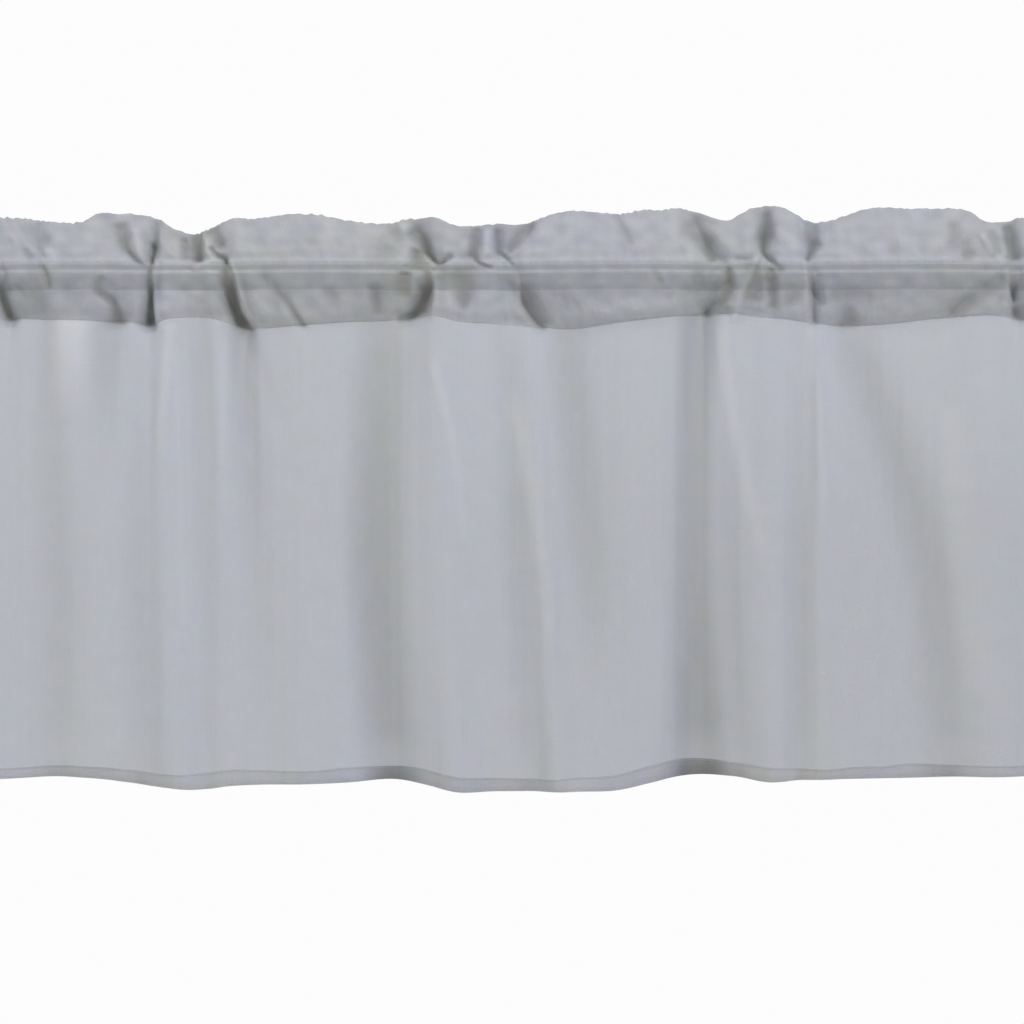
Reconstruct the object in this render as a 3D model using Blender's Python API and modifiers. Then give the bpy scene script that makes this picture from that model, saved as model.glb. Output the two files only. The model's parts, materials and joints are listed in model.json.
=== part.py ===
"""A sheer window valance gathered on a round curtain rod.

The origin is the middle of the rod, on its axis. +X runs along the rod, the front of the cloth faces
-Y and +Z is up. Sizes in the tables are millimetres; the objects are built in metres.
"""
from collections import namedtuple

import bpy
import numpy as np

MM = 0.001

# Rod
ROD_RADIUS = 9.5
ROD_LENGTH = 960.0
ROD_SIDES = 48
ROD_END_ROUNDING = 0.8

# Cloth
CLOTH_WIDTH = 918.0  # as it hangs, side hem to side hem
LAYER = 1.2  # one thickness of cloth
MOST_LAYERS = 2.5  # where turned edges lie on each other they are pressed to this many
SIDE_HEM = 11.0
BOTTOM_HEM = 10.0
GATHER_HEIGHT = 12.6  # of the gather stitching, above the rod's axis
ROD_ROOM = 1.1  # from the rod to the inside of the pocket
STEEPEST = 2.6  # the most that a fold's slope may spread its thickness front to back
POCKET_END = 0.6  # from a stitch line to where the pocket's two walls part
EDGE_ROUNDING = 1.0  # how far the top and bottom edges stand out beyond their last rows
TURN_WIDTH = 1.0  # half the width of the step from one layer to two at a turned hem

# Mesh
WIDEST_COLUMN = 18.0
NARROWEST_COLUMN = 3.0
LAST_COLUMN = 1.0  # least distance of a column from the right side
DEEP_PINCH = 6.0  # from this depth on, a pinch gets the full set of columns
DEEP_COLUMNS = (-1.9, -0.8, 0.0, 0.8, 1.9)  # in half widths of the pinch, from its middle
SHALLOW_COLUMNS = (-0.9, 0.4)

# Curves
PUFF_POWER = 2.4  # the higher, the flatter a puff is between its pinches
LEAN_POWER = 1.8  # the higher, the later a pinch turns aside on its way down the pocket
FADE_POWER = 1.3  # of a pinch's fading over its reach down the drop
SPREAD_LENGTH = 160.0  # down the drop, over which a pinch grows as wide again as it was
MOST_SPREAD = 1.5
POCKET_DEEPENS = 4.0  # a pinch has its pocket depth from a quarter of the pocket down

# Heights of the three edges at sections along the rod.
Section = namedtuple("Section", "x top seam hem")
SECTIONS = [
    Section(-459.0, 46.8, -33.2, -399.6),
    Section(-409.6, 48.4, -33.2, -400.9),
    Section(-361.6, 44.4, -34.8, -399.2),
    Section(-329.6, 50.4, -35.6, -400.9),
    Section(-305.6, 50.8, -36.4, -404.2),
    Section(-289.6, 49.2, -37.6, -406.6),
    Section(-272.0, 41.2, -33.2, -408.0),
    Section(-261.6, 35.2, -32.4, -409.6),
    Section(-243.2, 39.6, -32.8, -409.2),
    Section(-229.6, 46.0, -36.0, -407.2),
    Section(-209.6, 47.2, -40.8, -406.0),
    Section(-169.6, 50.4, -39.6, -405.2),
    Section(-133.6, 45.6, -36.8, -404.0),
    Section(-89.6, 45.6, -34.0, -402.4),
    Section(-65.6, 47.2, -30.8, -406.4),
    Section(-44.0, 43.6, -35.6, -410.8),
    Section(-9.6, 43.6, -38.0, -410.9),
    Section(18.4, 45.2, -40.0, -411.0),
    Section(46.4, 53.2, -42.0, -411.0),
    Section(86.4, 51.6, -37.2, -409.6),
    Section(110.4, 53.2, -34.4, -404.4),
    Section(134.4, 55.6, -31.6, -399.6),
    Section(162.4, 47.6, -30.4, -398.8),
    Section(178.4, 46.8, -30.0, -399.4),
    Section(198.4, 57.2, -32.8, -402.6),
    Section(226.4, 50.8, -35.2, -402.0),
    Section(246.4, 45.2, -38.0, -401.6),
    Section(274.4, 50.8, -39.6, -401.0),
    Section(294.4, 55.2, -38.8, -400.6),
    Section(342.4, 55.2, -33.6, -399.6),
    Section(370.4, 51.6, -31.6, -399.4),
    Section(390.4, 45.2, -31.6, -399.2),
    Section(409.6, 49.2, -34.0, -399.0),
    Section(459.0, 47.6, -34.8, -398.8),
]

# Pinches of the gathering, left to right: where each crosses the top edge, the gather line and the
# seam, how deep it is in the header and in the pocket, its half width, how far it runs down the drop,
# and how far the cloth puffs forward between it and the next pinch that has a puff.
Pinch = namedtuple("Pinch", "top gather seam header pocket width reach puff")
PINCHES = [
    Pinch(-458.0, -458.0, -458.0, 0.0, 0.0, 9.0, 20.0, 6.0),
    Pinch(-412.8, -410.0, -399.2, 8.0, 12.0, 7.0, 18.0, 9.0),
    Pinch(-372.0, -371.2, -370.4, 3.0, 4.0, 5.0, 20.0, None),
    Pinch(-318.0, -316.0, -314.0, 1.0, 4.0, 9.0, 20.0, None),
    Pinch(-306.0, -298.0, -303.0, 7.0, 1.0, 6.0, 10.0, None),
    Pinch(-286.0, -286.5, -288.0, 9.0, 13.0, 4.5, 16.0, 1.0),
    Pinch(-251.0, -250.0, -250.0, 5.0, 2.0, 5.0, 10.0, None),
    Pinch(-230.4, -232.0, -216.8, 8.0, 13.0, 6.5, 26.0, 11.0),
    Pinch(-205.0, -200.0, -170.0, 1.0, 5.0, 9.0, 20.0, None),
    Pinch(-112.0, -110.0, -104.0, 1.0, 3.0, 8.0, 20.0, None),
    Pinch(-80.0, -64.0, -89.6, 11.0, 14.0, 8.0, 18.0, 5.0),
    Pinch(-56.0, -53.0, -60.0, 3.0, 2.0, 4.0, 10.0, None),
    Pinch(-40.0, -39.2, -39.2, 2.0, 8.0, 6.0, 14.0, None),
    Pinch(-29.6, -23.0, -22.0, 4.0, 2.0, 5.0, 10.0, None),
    Pinch(-10.4, -3.0, -2.0, 5.0, 3.0, 5.0, 10.0, None),
    Pinch(18.4, 3.0, 24.8, 5.0, 12.0, 7.0, 16.0, 13.0),
    Pinch(84.0, 90.0, 92.0, 4.0, 2.0, 9.0, 10.0, None),
    Pinch(116.0, 116.0, 116.0, 2.0, 2.0, 5.0, 10.0, None),
    Pinch(148.0, 176.0, 150.4, 10.0, 14.0, 8.0, 24.0, 6.0),
    Pinch(201.6, 202.0, 194.0, 9.0, 9.0, 6.0, 14.0, 8.0),
    Pinch(208.0, 209.0, 222.0, 2.0, 4.0, 5.0, 10.0, None),
    Pinch(240.0, 239.2, 237.6, 8.0, 10.0, 5.5, 14.0, 13.0),
    Pinch(287.0, 287.0, 287.0, 1.0, 3.0, 6.0, 20.0, None),
    Pinch(372.0, 378.0, 346.0, 4.0, 4.0, 8.0, 20.0, None),
    Pinch(398.0, 398.4, 397.0, 8.0, 12.0, 6.0, 16.0, 7.0),
    Pinch(436.0, 437.0, 435.0, 4.0, 6.0, 7.0, 20.0, None),
    Pinch(458.0, 458.0, 458.0, 0.0, 0.0, 9.0, 20.0, 0.0),
]

# Folds of the drop, left to right: where each lies at the seam, half way down and at the hem, how far
# it stands forward (or back, if negative) there, and its half width at the seam and at the hem.
Fold = namedtuple("Fold", "x_seam x_mid x_hem seam mid hem wide_seam wide_hem")
FOLDS = [
    Fold(-436.0, -434.0, -430.0, 3.0, 5.0, 7.0, 24.0, 24.0),
    Fold(-376.0, -366.0, -364.0, -3.0, -4.0, -5.0, 10.0, 17.0),
    Fold(-323.0, -332.0, -342.0, -6.0, 2.0, 3.0, 11.0, 14.0),
    Fold(-296.0, -298.0, -296.0, 0.0, -3.0, -3.0, 12.0, 12.0),
    Fold(-278.0, -276.0, -268.0, 4.0, 5.0, 9.0, 11.0, 16.0),
    Fold(-252.0, -246.0, -244.0, -3.0, -2.0, -2.0, 8.0, 8.0),
    Fold(-238.0, -232.0, -234.0, 3.0, 3.0, 2.0, 7.0, 7.0),
    Fold(-217.0, -204.0, -190.0, -6.0, -3.0, -1.0, 10.0, 14.0),
    Fold(-166.0, -163.0, -160.0, 4.0, 4.0, 4.0, 28.0, 28.0),
    Fold(-102.0, -111.0, -99.0, -6.5, -12.0, -13.0, 23.0, 21.0),
    Fold(-58.0, -54.0, -46.0, 6.0, 6.0, 11.0, 16.0, 18.0),
    Fold(-3.0, 4.0, 16.0, -3.0, -5.0, -4.0, 10.0, 11.0),
    Fold(12.0, 24.0, 38.0, 4.0, 7.0, 9.0, 13.0, 15.0),
    Fold(40.0, 62.0, 78.0, -5.5, -5.5, 3.0, 18.0, 22.0),
    Fold(98.0, 100.0, 104.0, 6.0, 5.0, 0.0, 24.0, 24.0),
    Fold(147.0, 144.0, 150.0, -8.0, -10.0, -17.0, 11.0, 22.0),
    Fold(170.0, 174.0, 184.0, 2.0, -6.0, -5.0, 9.0, 10.0),
    Fold(202.0, 204.0, 208.0, 4.0, 6.0, 7.0, 18.0, 16.0),
    Fold(232.0, 230.0, 230.0, -2.0, -4.0, -4.0, 8.0, 8.0),
    Fold(243.0, 246.0, 250.0, 4.0, 5.0, 4.0, 10.0, 10.0),
    Fold(264.0, 326.0, 352.0, -5.0, -5.5, -5.5, 18.0, 24.0),
    Fold(378.0, 380.0, 384.0, 7.0, 8.0, 7.0, 24.0, 24.0),
    Fold(430.0, 428.0, 424.0, -4.0, -5.0, -5.0, 16.0, 16.0),
]

# Rows of the front face from the top edge down: the part of the cloth, the share of that part above
# the row, how far the row stands in front of the rod's axis, and how much of the puffs, of the
# pinches and of the drop's folds it takes.
Row = namedtuple("Row", "part share front puff pinch fold")
ROWS = [
    Row("header", 0.03, 3.6, 0.55, 0.55, 0.15),
    Row("header", 0.36, 4.6, 0.72, 0.75, 0.15),
    Row("header", 0.74, 5.2, 0.64, 1.00, 0.10),
    Row("pocket", 0.00, 5.6, 0.50, 0.80, 0.05),
    Row("pocket", 0.07, 8.4, 0.56, 0.60, 0.10),
    Row("pocket", 0.17, 11.8, 0.75, 0.90, 0.15),
    Row("pocket", 0.29, 13.6, 0.95, 1.00, 0.20),
    Row("pocket", 0.44, 14.6, 1.00, 1.00, 0.35),
    Row("pocket", 0.62, 14.0, 0.95, 0.95, 0.55),
    Row("pocket", 0.81, 12.2, 0.82, 0.90, 0.80),
    Row("pocket", 0.97, 10.0, 0.66, 0.85, 1.00),
    Row("drop", 0.012, 9.8, 0.56, 0.60, 0.95),
    Row("drop", 0.06, 9.9, 0.52, 0.34, 0.90),
    Row("drop", 0.14, 10.0, 0.40, 0.22, 0.85),
    Row("drop", 0.26, 10.0, 0.27, 0.16, 0.80),
    Row("drop", 0.42, 10.0, 0.16, 0.15, 0.80),
    Row("drop", 0.58, 10.0, 0.10, 0.12, 0.80),
    Row("drop", 0.74, 10.0, 0.06, 0.10, 0.80),
    Row("drop", 0.88, 10.0, 0.03, 0.08, 0.80),
]
# The back wall of the pocket at the pocket rows between its two ends: how far its inside stands
# behind the rod's axis.
POCKET_BACK = [6.8, 11.0, 13.0, 12.8, 10.4, 6.4]
WALL_GAP = 1.5  # least gap between the pocket's two walls, away from its ends
BACK_PUFF = 0.35  # share of the front's puffs that the back wall takes
BACK_PINCH = 0.3  # share of the front's pinches that the back wall takes


def smooth_steps(x, xs, values):
    """Values at x between the stations xs, easing from each station to the next."""
    xs, values = np.asarray(xs, float), np.asarray(values, float)
    i = np.clip(np.searchsorted(xs, x) - 1, 0, len(xs) - 2)
    t = np.clip((x - xs[i]) / (xs[i + 1] - xs[i]), 0.0, 1.0)
    slope = np.gradient(values, xs)
    width = xs[i + 1] - xs[i]
    a, b = values[i], values[i + 1]
    rise_a, rise_b = slope[i] * width, slope[i + 1] * width
    # Hermite curve through both stations with the slopes of their neighbours
    return (
        a * (2 * t**3 - 3 * t**2 + 1)
        + b * (3 * t**2 - 2 * t**3)
        + rise_a * (t**3 - 2 * t**2 + t)
        + rise_b * (t**3 - t**2)
    )


def columns():
    """Where the mesh's columns cross the gather line: close together at each pinch."""
    half = CLOTH_WIDTH / 2
    hem = half - SIDE_HEM
    wanted = [-half, -hem - TURN_WIDTH, -hem + TURN_WIDTH, hem - TURN_WIDTH, hem + TURN_WIDTH, half]
    for p in PINCHES[1:-1]:
        deep = max(p.header, p.pocket) >= DEEP_PINCH
        steps = DEEP_COLUMNS if deep else SHALLOW_COLUMNS
        wanted += [p.gather + s * p.width for s in steps]
    kept = []
    for x in sorted(wanted):
        if not kept or x - kept[-1] >= NARROWEST_COLUMN or x == half:
            kept.append(x)
    if kept[-1] - kept[-2] < LAST_COLUMN:
        kept.pop(-2)
    filled = [kept[0]]
    for x in kept[1:]:
        parts = int(np.ceil((x - filled[-1]) / WIDEST_COLUMN))
        filled += list(np.linspace(filled[-1], x, parts + 1)[1:])
    return np.array(filled)


def shift(u, row):
    """How far the columns u lean sideways at a row, to follow the pinches' own lines."""
    at = [p.gather for p in PINCHES]
    if row.part == "header":
        lean = [(p.top - p.gather) * (1.0 - row.share) for p in PINCHES]
    elif row.part == "pocket":
        lean = [(p.seam - p.gather) * row.share**LEAN_POWER for p in PINCHES]
    else:
        lean = [p.seam - p.gather for p in PINCHES]
    return np.interp(u, at, lean)


def height(x, row):
    """Height of a row at places x along the rod."""
    at = [s.x for s in SECTIONS]
    top = smooth_steps(x, at, [s.top for s in SECTIONS])
    seam = smooth_steps(x, at, [s.seam for s in SECTIONS])
    hem = smooth_steps(x, at, [s.hem for s in SECTIONS])
    if row.part == "header":
        return top + row.share * (GATHER_HEIGHT - top)
    if row.part == "pocket":
        return GATHER_HEIGHT + row.share * (seam - GATHER_HEIGHT)
    return seam + row.share * (hem - seam)


def puffs(u):
    """How far the cloth puffs forward between the pinches that bound each puff."""
    out = np.zeros_like(u)
    bounds = [p for p in PINCHES if p.puff is not None]
    for left, right in zip(bounds, bounds[1:]):
        t = np.clip((u - left.gather) / (right.gather - left.gather), 0.0, 1.0)
        out += np.where((t > 0) & (t < 1), left.puff * (1.0 - np.abs(2 * t - 1) ** PUFF_POWER), 0.0)
    return out


def pinches(u, row, down):
    """How far the pinches draw the cloth back, at a distance down the drop."""
    out = np.zeros_like(u)
    for p in PINCHES:
        if row.part == "header":
            depth = p.header
        elif row.part == "pocket":
            depth = p.header + (p.pocket - p.header) * min(1.0, row.share * POCKET_DEEPENS)
        else:
            depth = p.pocket * np.exp(-((down / p.reach) ** FADE_POWER))
        widen = 1.0 + np.clip(down / SPREAD_LENGTH, 0.0, MOST_SPREAD)
        out += depth * np.exp(-(((u - p.gather) / (p.width * widen)) ** 2))
    return out * row.pinch


def folds(x, row):
    """How far the folds of the drop stand forward at places x of a row."""
    s = row.share if row.part == "drop" else 0.0
    ends = [0.0, 0.5, 1.0]
    out = np.zeros_like(x)
    for f in FOLDS:
        middle = smooth_steps(s, ends, [f.x_seam, f.x_mid, f.x_hem])
        stands = smooth_steps(s, ends, [f.seam, f.mid, f.hem])
        width = f.wide_seam + (f.wide_hem - f.wide_seam) * s
        out += stands * np.exp(-(((x - middle) / width) ** 2))
    return out * row.fold


def front_row(u, row):
    """Places of one row of the front face, as rows of x, y and z."""
    x = u + shift(u, row)
    z = height(x, row)
    down = np.maximum(height(x, row._replace(part="pocket", share=1.0)) - z, 0.0)
    forward = row.front + puffs(u) * row.puff + folds(x, row) - pinches(u, row, down)
    return np.stack([x, -forward, z], axis=-1)


def clear_of_rod(z):
    """How far from the rod's axis the inside of the pocket keeps at heights z: round the rod, then
    straight off it at 45 degrees."""
    room = ROD_RADIUS + ROD_ROOM
    z = np.abs(z)
    return np.where(z < room / np.sqrt(2), np.sqrt(np.maximum(room**2 - z**2, 0.0)), room * np.sqrt(2) - z)


def thickness(front):
    """How far behind the front face one layer's back lies, so that it is LAYER thick on its slopes."""
    along = np.gradient(front, axis=1)
    across = np.gradient(front, axis=0)
    normal = np.cross(along, across)
    spread = np.linalg.norm(normal, axis=-1) / np.maximum(np.abs(normal[..., 1]), 1e-6)
    return LAYER * np.minimum(spread, STEEPEST)


def cloth_rows():
    """The cloth's front, back and pocket walls, each as rows of points from the top down."""
    u = columns()
    drop_length = np.mean([s.seam - s.hem for s in SECTIONS])
    from_hem = (BOTTOM_HEM + TURN_WIDTH, BOTTOM_HEM - TURN_WIDTH, EDGE_ROUNDING)
    rows = ROWS + [ROWS[-1]._replace(share=1.0 - up / drop_length) for up in from_hem]
    front = np.array([front_row(u, row) for row in rows])
    layer = thickness(front)
    side = np.where(np.abs(u) > CLOTH_WIDTH / 2 - SIDE_HEM, 1.0, 0.0)
    pocket = [i for i, row in enumerate(rows) if row.part == "pocket"]
    layers = np.ones_like(layer)
    for i, row in enumerate(rows):
        if row.part == "header" or i in (pocket[0], pocket[-1]):
            layers[i] += 1.0
    layers[-2:] += 1.0
    layers = np.minimum(layers + side, MOST_LAYERS)
    # The pocket's walls part between its first and last row, round the rod.
    for i in pocket[1:-1]:
        most = -clear_of_rod(front[i, :, 2]) - layer[i] * layers[i]
        front[i, :, 1] = np.minimum(front[i, :, 1], most)
    back = front.copy()
    back[..., 1] += layer * layers
    inner_front = back[pocket].copy()
    inner_back = inner_front.copy()
    for side_row, behind in enumerate(POCKET_BACK, start=1):
        wave = BACK_PUFF * puffs(u) - BACK_PINCH * pinches(u, rows[pocket[side_row]], 0.0)
        i = pocket[side_row]
        wall = np.maximum(behind + wave, clear_of_rod(front[i, :, 2]))
        wall = np.maximum(wall, inner_front[side_row, :, 1] + WALL_GAP)
        inner_back[side_row, :, 1] = wall
        back[i, :, 1] = wall + LAYER
    # At both ends of the pocket the walls meet in the middle of the doubled cloth.
    for end, step in ((0, -POCKET_END), (-1, POCKET_END)):
        i = pocket[end]
        meet = (front[i, :, 1] + back[i, :, 1]) / 2
        for wall in (inner_front, inner_back):
            wall[end, :, 1] = meet
            wall[end, :, 2] = front[i, :, 2] + step
    return front, back, inner_front, inner_back, pocket


def cloth_mesh():
    """Points and faces of the cloth: one closed solid with the pocket open at both sides."""
    front, back, inner_front, inner_back, pocket = cloth_rows()
    rows, cols = front.shape[:2]
    top = (front[0] + back[0]) / 2
    top[:, 2] += EDGE_ROUNDING
    bottom = (front[-1] + back[-1]) / 2
    bottom[:, 2] -= EDGE_ROUNDING
    outer = np.concatenate([top[None], front, bottom[None], back[::-1]])
    tunnel = np.concatenate([inner_front, inner_back[-2:0:-1]])
    points = np.concatenate([outer.reshape(-1, 3), tunnel.reshape(-1, 3)])
    n_outer, n_tunnel = len(outer), len(tunnel)
    first = n_outer * cols

    def outer_at(ring, col):
        return (ring % n_outer) * cols + col

    def tunnel_at(ring, col):
        return first + (ring % n_tunnel) * cols + col

    def ring_front(row, col):
        return outer_at(1 + row, col)

    def ring_back(row, col):
        return outer_at(2 * rows + 1 - row, col)

    faces = []
    for c in range(cols - 1):
        for r in range(n_outer):
            a, b = outer_at(r, c), outer_at(r + 1, c)
            d, e = outer_at(r, c + 1), outer_at(r + 1, c + 1)
            faces += [(a, b, e), (a, e, d)] if r <= rows else [(a, b, d), (b, e, d)]
        for r in range(n_tunnel):
            a, b = tunnel_at(r, c), tunnel_at(r + 1, c)
            d, e = tunnel_at(r, c + 1), tunnel_at(r + 1, c + 1)
            faces += [(a, e, b), (a, d, e)] if r < n_tunnel // 2 else [(a, d, b), (b, d, e)]
    # Side edges: rungs between the front and the back, and between each pocket wall's two faces.
    first_row, last_row = pocket[0], pocket[-1]
    deepest = last_row - first_row
    for c, turn in ((0, 1), (cols - 1, -1)):
        edge = [
            (outer_at(0, c), ring_back(0, c), ring_front(0, c)),
            (ring_front(first_row, c), ring_back(first_row, c), tunnel_at(0, c)),
            (tunnel_at(deepest, c), ring_back(last_row, c), ring_front(last_row, c)),
            (ring_front(rows - 1, c), ring_back(rows - 1, c), outer_at(1 + rows, c)),
        ]
        for r in range(rows - 1):
            a, b = ring_front(r, c), ring_front(r + 1, c)
            d, e = ring_back(r, c), ring_back(r + 1, c)
            if first_row <= r < last_row:
                k = r - first_row
                edge.append((a, tunnel_at(k, c), tunnel_at(k + 1, c), b))
                edge.append((tunnel_at(n_tunnel - k, c), d, e, tunnel_at(n_tunnel - k - 1, c)))
            else:
                edge.append((a, d, e, b))
        faces += [f[::turn] for f in edge]
    return points * MM, faces


def material(name, colour, metallic, roughness):
    """A plain Principled material."""
    mat = bpy.data.materials.new(name)
    mat.use_nodes = True
    shader = mat.node_tree.nodes["Principled BSDF"]
    shader.inputs["Base Color"].default_value = (*colour, 1.0)
    shader.inputs["Metallic"].default_value = metallic
    shader.inputs["Roughness"].default_value = roughness
    return mat


def into(collection, ob, mat):
    """Give an object its material and move it to the part's collection."""
    ob.data.materials.clear()
    ob.data.materials.append(mat)
    for other in list(ob.users_collection):
        other.objects.unlink(ob)
    collection.objects.link(ob)


def build_cloth(collection):
    points, faces = cloth_mesh()
    mesh = bpy.data.meshes.new("valance_cloth")
    mesh.from_pydata(points.tolist(), [], faces)
    mesh.update()
    mesh.polygons.foreach_set("use_smooth", [True] * len(mesh.polygons))
    ob = bpy.data.objects.new("valance_cloth", mesh)
    collection.objects.link(ob)
    into(collection, ob, material("voile", (0.47, 0.49, 0.52), 0.0, 0.85))


def build_rod(collection):
    bpy.ops.mesh.primitive_cylinder_add(
        vertices=ROD_SIDES,
        radius=ROD_RADIUS * MM,
        depth=ROD_LENGTH * MM,
        rotation=(0.0, np.pi / 2, 0.0),
    )
    ob = bpy.context.object
    ob.name = ob.data.name = "curtain_rod"
    ob.data.polygons.foreach_set("use_smooth", [len(p.vertices) == 4 for p in ob.data.polygons])
    bevel = ob.modifiers.new("end_rounding", "BEVEL")
    bevel.width = ROD_END_ROUNDING * MM
    bevel.segments = 2
    bevel.limit_method = "ANGLE"
    into(collection, ob, material("rod_metal", (0.55, 0.55, 0.56), 1.0, 0.35))


def main():
    for ob in list(bpy.data.objects):
        bpy.data.objects.remove(ob, do_unlink=True)
    collection = bpy.data.collections.new("window_valance")
    bpy.context.scene.collection.children.link(collection)
    build_cloth(collection)
    build_rod(collection)


main()
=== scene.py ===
# %% [markdown]
# # A sheer window valance on a curtain rod
# The valance is one length of grey voile, gathered on a slim round rod. Its top is turned over to the
# back and stitched twice: the strip above the upper stitching is the ruffled header, and the tube
# between the two lines is the pocket that the rod runs through. Below it the cloth hangs in one layer
# down to a narrow turned hem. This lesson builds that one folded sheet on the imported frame, gives it
# thread, weave and light, and looks at it level and straight on.

import json
from collections import namedtuple

import bpy
import numpy as np
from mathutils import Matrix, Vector

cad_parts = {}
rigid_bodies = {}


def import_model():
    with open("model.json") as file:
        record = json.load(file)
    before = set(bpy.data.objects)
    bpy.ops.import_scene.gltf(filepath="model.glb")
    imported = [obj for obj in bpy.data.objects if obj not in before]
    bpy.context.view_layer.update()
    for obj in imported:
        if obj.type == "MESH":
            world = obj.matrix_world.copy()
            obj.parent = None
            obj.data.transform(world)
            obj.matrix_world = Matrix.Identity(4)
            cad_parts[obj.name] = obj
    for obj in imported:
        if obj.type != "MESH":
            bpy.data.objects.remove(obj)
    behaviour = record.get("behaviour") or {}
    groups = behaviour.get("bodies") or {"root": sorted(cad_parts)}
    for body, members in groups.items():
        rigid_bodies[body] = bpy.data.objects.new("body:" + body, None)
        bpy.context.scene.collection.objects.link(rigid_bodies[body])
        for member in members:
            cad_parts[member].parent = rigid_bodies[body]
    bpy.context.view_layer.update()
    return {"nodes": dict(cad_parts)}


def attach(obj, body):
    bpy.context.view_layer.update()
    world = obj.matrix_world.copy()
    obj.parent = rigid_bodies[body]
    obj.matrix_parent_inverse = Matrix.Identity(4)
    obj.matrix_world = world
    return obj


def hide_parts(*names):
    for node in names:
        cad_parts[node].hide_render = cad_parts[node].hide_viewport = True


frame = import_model()
MM = 0.001
print("frame nodes:", sorted(frame["nodes"]))

# %% [markdown]
# ## Stations and easing
# Along the rod the cloth's top edge, pocket seam and hem rise and fall, and the hem is turned up
# deeper in some places than in others. Stations say how high each edge is, how deep the hem is there
# and how much painted light pales it, and a smooth curve goes through them. A Hermite curve is used,
# because it passes through every station and its slope there follows the neighbours, so no kink shows.
# Most of the top edge's heights, half of the hem's and the hem's depths were measured by a program;
# the seam's heights were read off, and how much painted light pales the hem was set one by one.


# %% A smooth curve through stations
def eased(x, xs, values):
    """Hermite curve: between two stations it blends their heights and their slopes, by cubics."""
    xs, values = np.asarray(xs, float), np.asarray(values, float)
    i = np.clip(np.searchsorted(xs, x) - 1, 0, len(xs) - 2)
    width = xs[i + 1] - xs[i]
    t = np.clip((x - xs[i]) / width, 0.0, 1.0)
    slope = np.gradient(values, xs)
    return (
        values[i] * (2 * t**3 - 3 * t**2 + 1)
        + values[i + 1] * (3 * t**2 - 2 * t**3)
        + slope[i] * width * (t**3 - 2 * t**2 + t)
        + slope[i + 1] * width * (t**3 - t**2)
    )


# %% Heights of the three edges and depths of the hem, in millimetres from the rod's axis
Station = namedtuple("Station", "x z")
TOP_EDGE = [
    Station(-459.0, 46.8),
    Station(-409.6, 48.8),
    Station(-392.0, 47.6),
    Station(-374.0, 45.4),
    Station(-361.6, 44.4),
    Station(-343.0, 45.2),
    Station(-334.0, 50.6),
    Station(-314.0, 51.4),
    Station(-290.0, 49.2),
    Station(-283.0, 46.8),
    Station(-276.0, 42.0),
    Station(-265.0, 37.0),
    Station(-256.0, 35.4),
    Station(-246.0, 38.6),
    Station(-237.0, 42.4),
    Station(-224.0, 47.8),
    Station(-208.0, 47.2),
    Station(-174.0, 51.0),
    Station(-160.0, 50.8),
    Station(-127.0, 45.2),
    Station(-94.0, 44.6),
    Station(-87.0, 46.8),
    Station(-73.0, 48.2),
    Station(-59.0, 47.8),
    Station(-52.0, 44.2),
    Station(-9.6, 43.6),
    Station(12.0, 44.4),
    Station(22.0, 47.8),
    Station(29.0, 50.2),
    Station(42.0, 53.2),
    Station(52.0, 53.8),
    Station(70.0, 51.8),
    Station(92.0, 51.4),
    Station(103.0, 53.8),
    Station(120.0, 54.2),
    Station(134.0, 56.2),
    Station(143.0, 54.6),
    Station(152.0, 52.2),
    Station(162.0, 47.6),
    Station(176.0, 46.8),
    Station(182.0, 49.8),
    Station(190.0, 55.2),
    Station(197.0, 57.2),
    Station(213.0, 57.2),
    Station(223.0, 53.6),
    Station(234.0, 47.4),
    Station(243.0, 45.0),
    Station(253.0, 45.6),
    Station(267.0, 49.8),
    Station(282.0, 54.8),
    Station(292.0, 56.2),
    Station(318.0, 55.0),
    Station(340.0, 55.2),
    Station(363.0, 54.0),
    Station(369.0, 51.8),
    Station(377.0, 46.2),
    Station(397.0, 45.6),
    Station(409.6, 48.8),
    Station(459.0, 47.6),
]
Section = namedtuple("Section", "x seam hem")
SECTIONS = [
    Section(-459.0, -33.2, -399.6),
    Section(-409.6, -33.2, -400.9),
    Section(-361.6, -34.8, -399.2),
    Section(-329.6, -35.6, -400.9),
    Section(-305.6, -36.4, -404.2),
    Section(-289.6, -37.6, -406.6),
    Section(-272.0, -33.2, -408.0),
    Section(-258.0, -32.4, -409.4),
    Section(-243.2, -32.8, -409.2),
    Section(-229.6, -36.0, -407.2),
    Section(-209.6, -40.8, -406.0),
    Section(-169.6, -39.6, -405.2),
    Section(-133.6, -36.8, -404.0),
    Section(-89.6, -34.0, -402.4),
    Section(-65.6, -30.8, -406.4),
    Section(-44.0, -35.6, -410.8),
    Section(-9.6, -38.0, -410.9),
    Section(18.4, -40.0, -411.0),
    Section(46.4, -42.0, -411.0),
    Section(86.4, -37.2, -409.6),
    Section(110.4, -34.4, -404.4),
    Section(132.0, -31.6, -399.8),
    Section(148.0, -30.4, -398.6),
    Section(178.4, -30.0, -399.4),
    Section(204.0, -32.8, -403.2),
    Section(226.4, -35.2, -402.4),
    Section(246.4, -38.0, -401.6),
    Section(274.4, -39.6, -401.0),
    Section(294.4, -38.8, -400.6),
    Section(342.4, -33.6, -399.8),
    Section(370.4, -31.6, -399.4),
    Section(390.4, -31.6, -399.2),
    Section(409.6, -34.0, -399.0),
    Section(459.0, -34.8, -398.8),
]
Turning = namedtuple("Turning", "x deep pressed")
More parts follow.
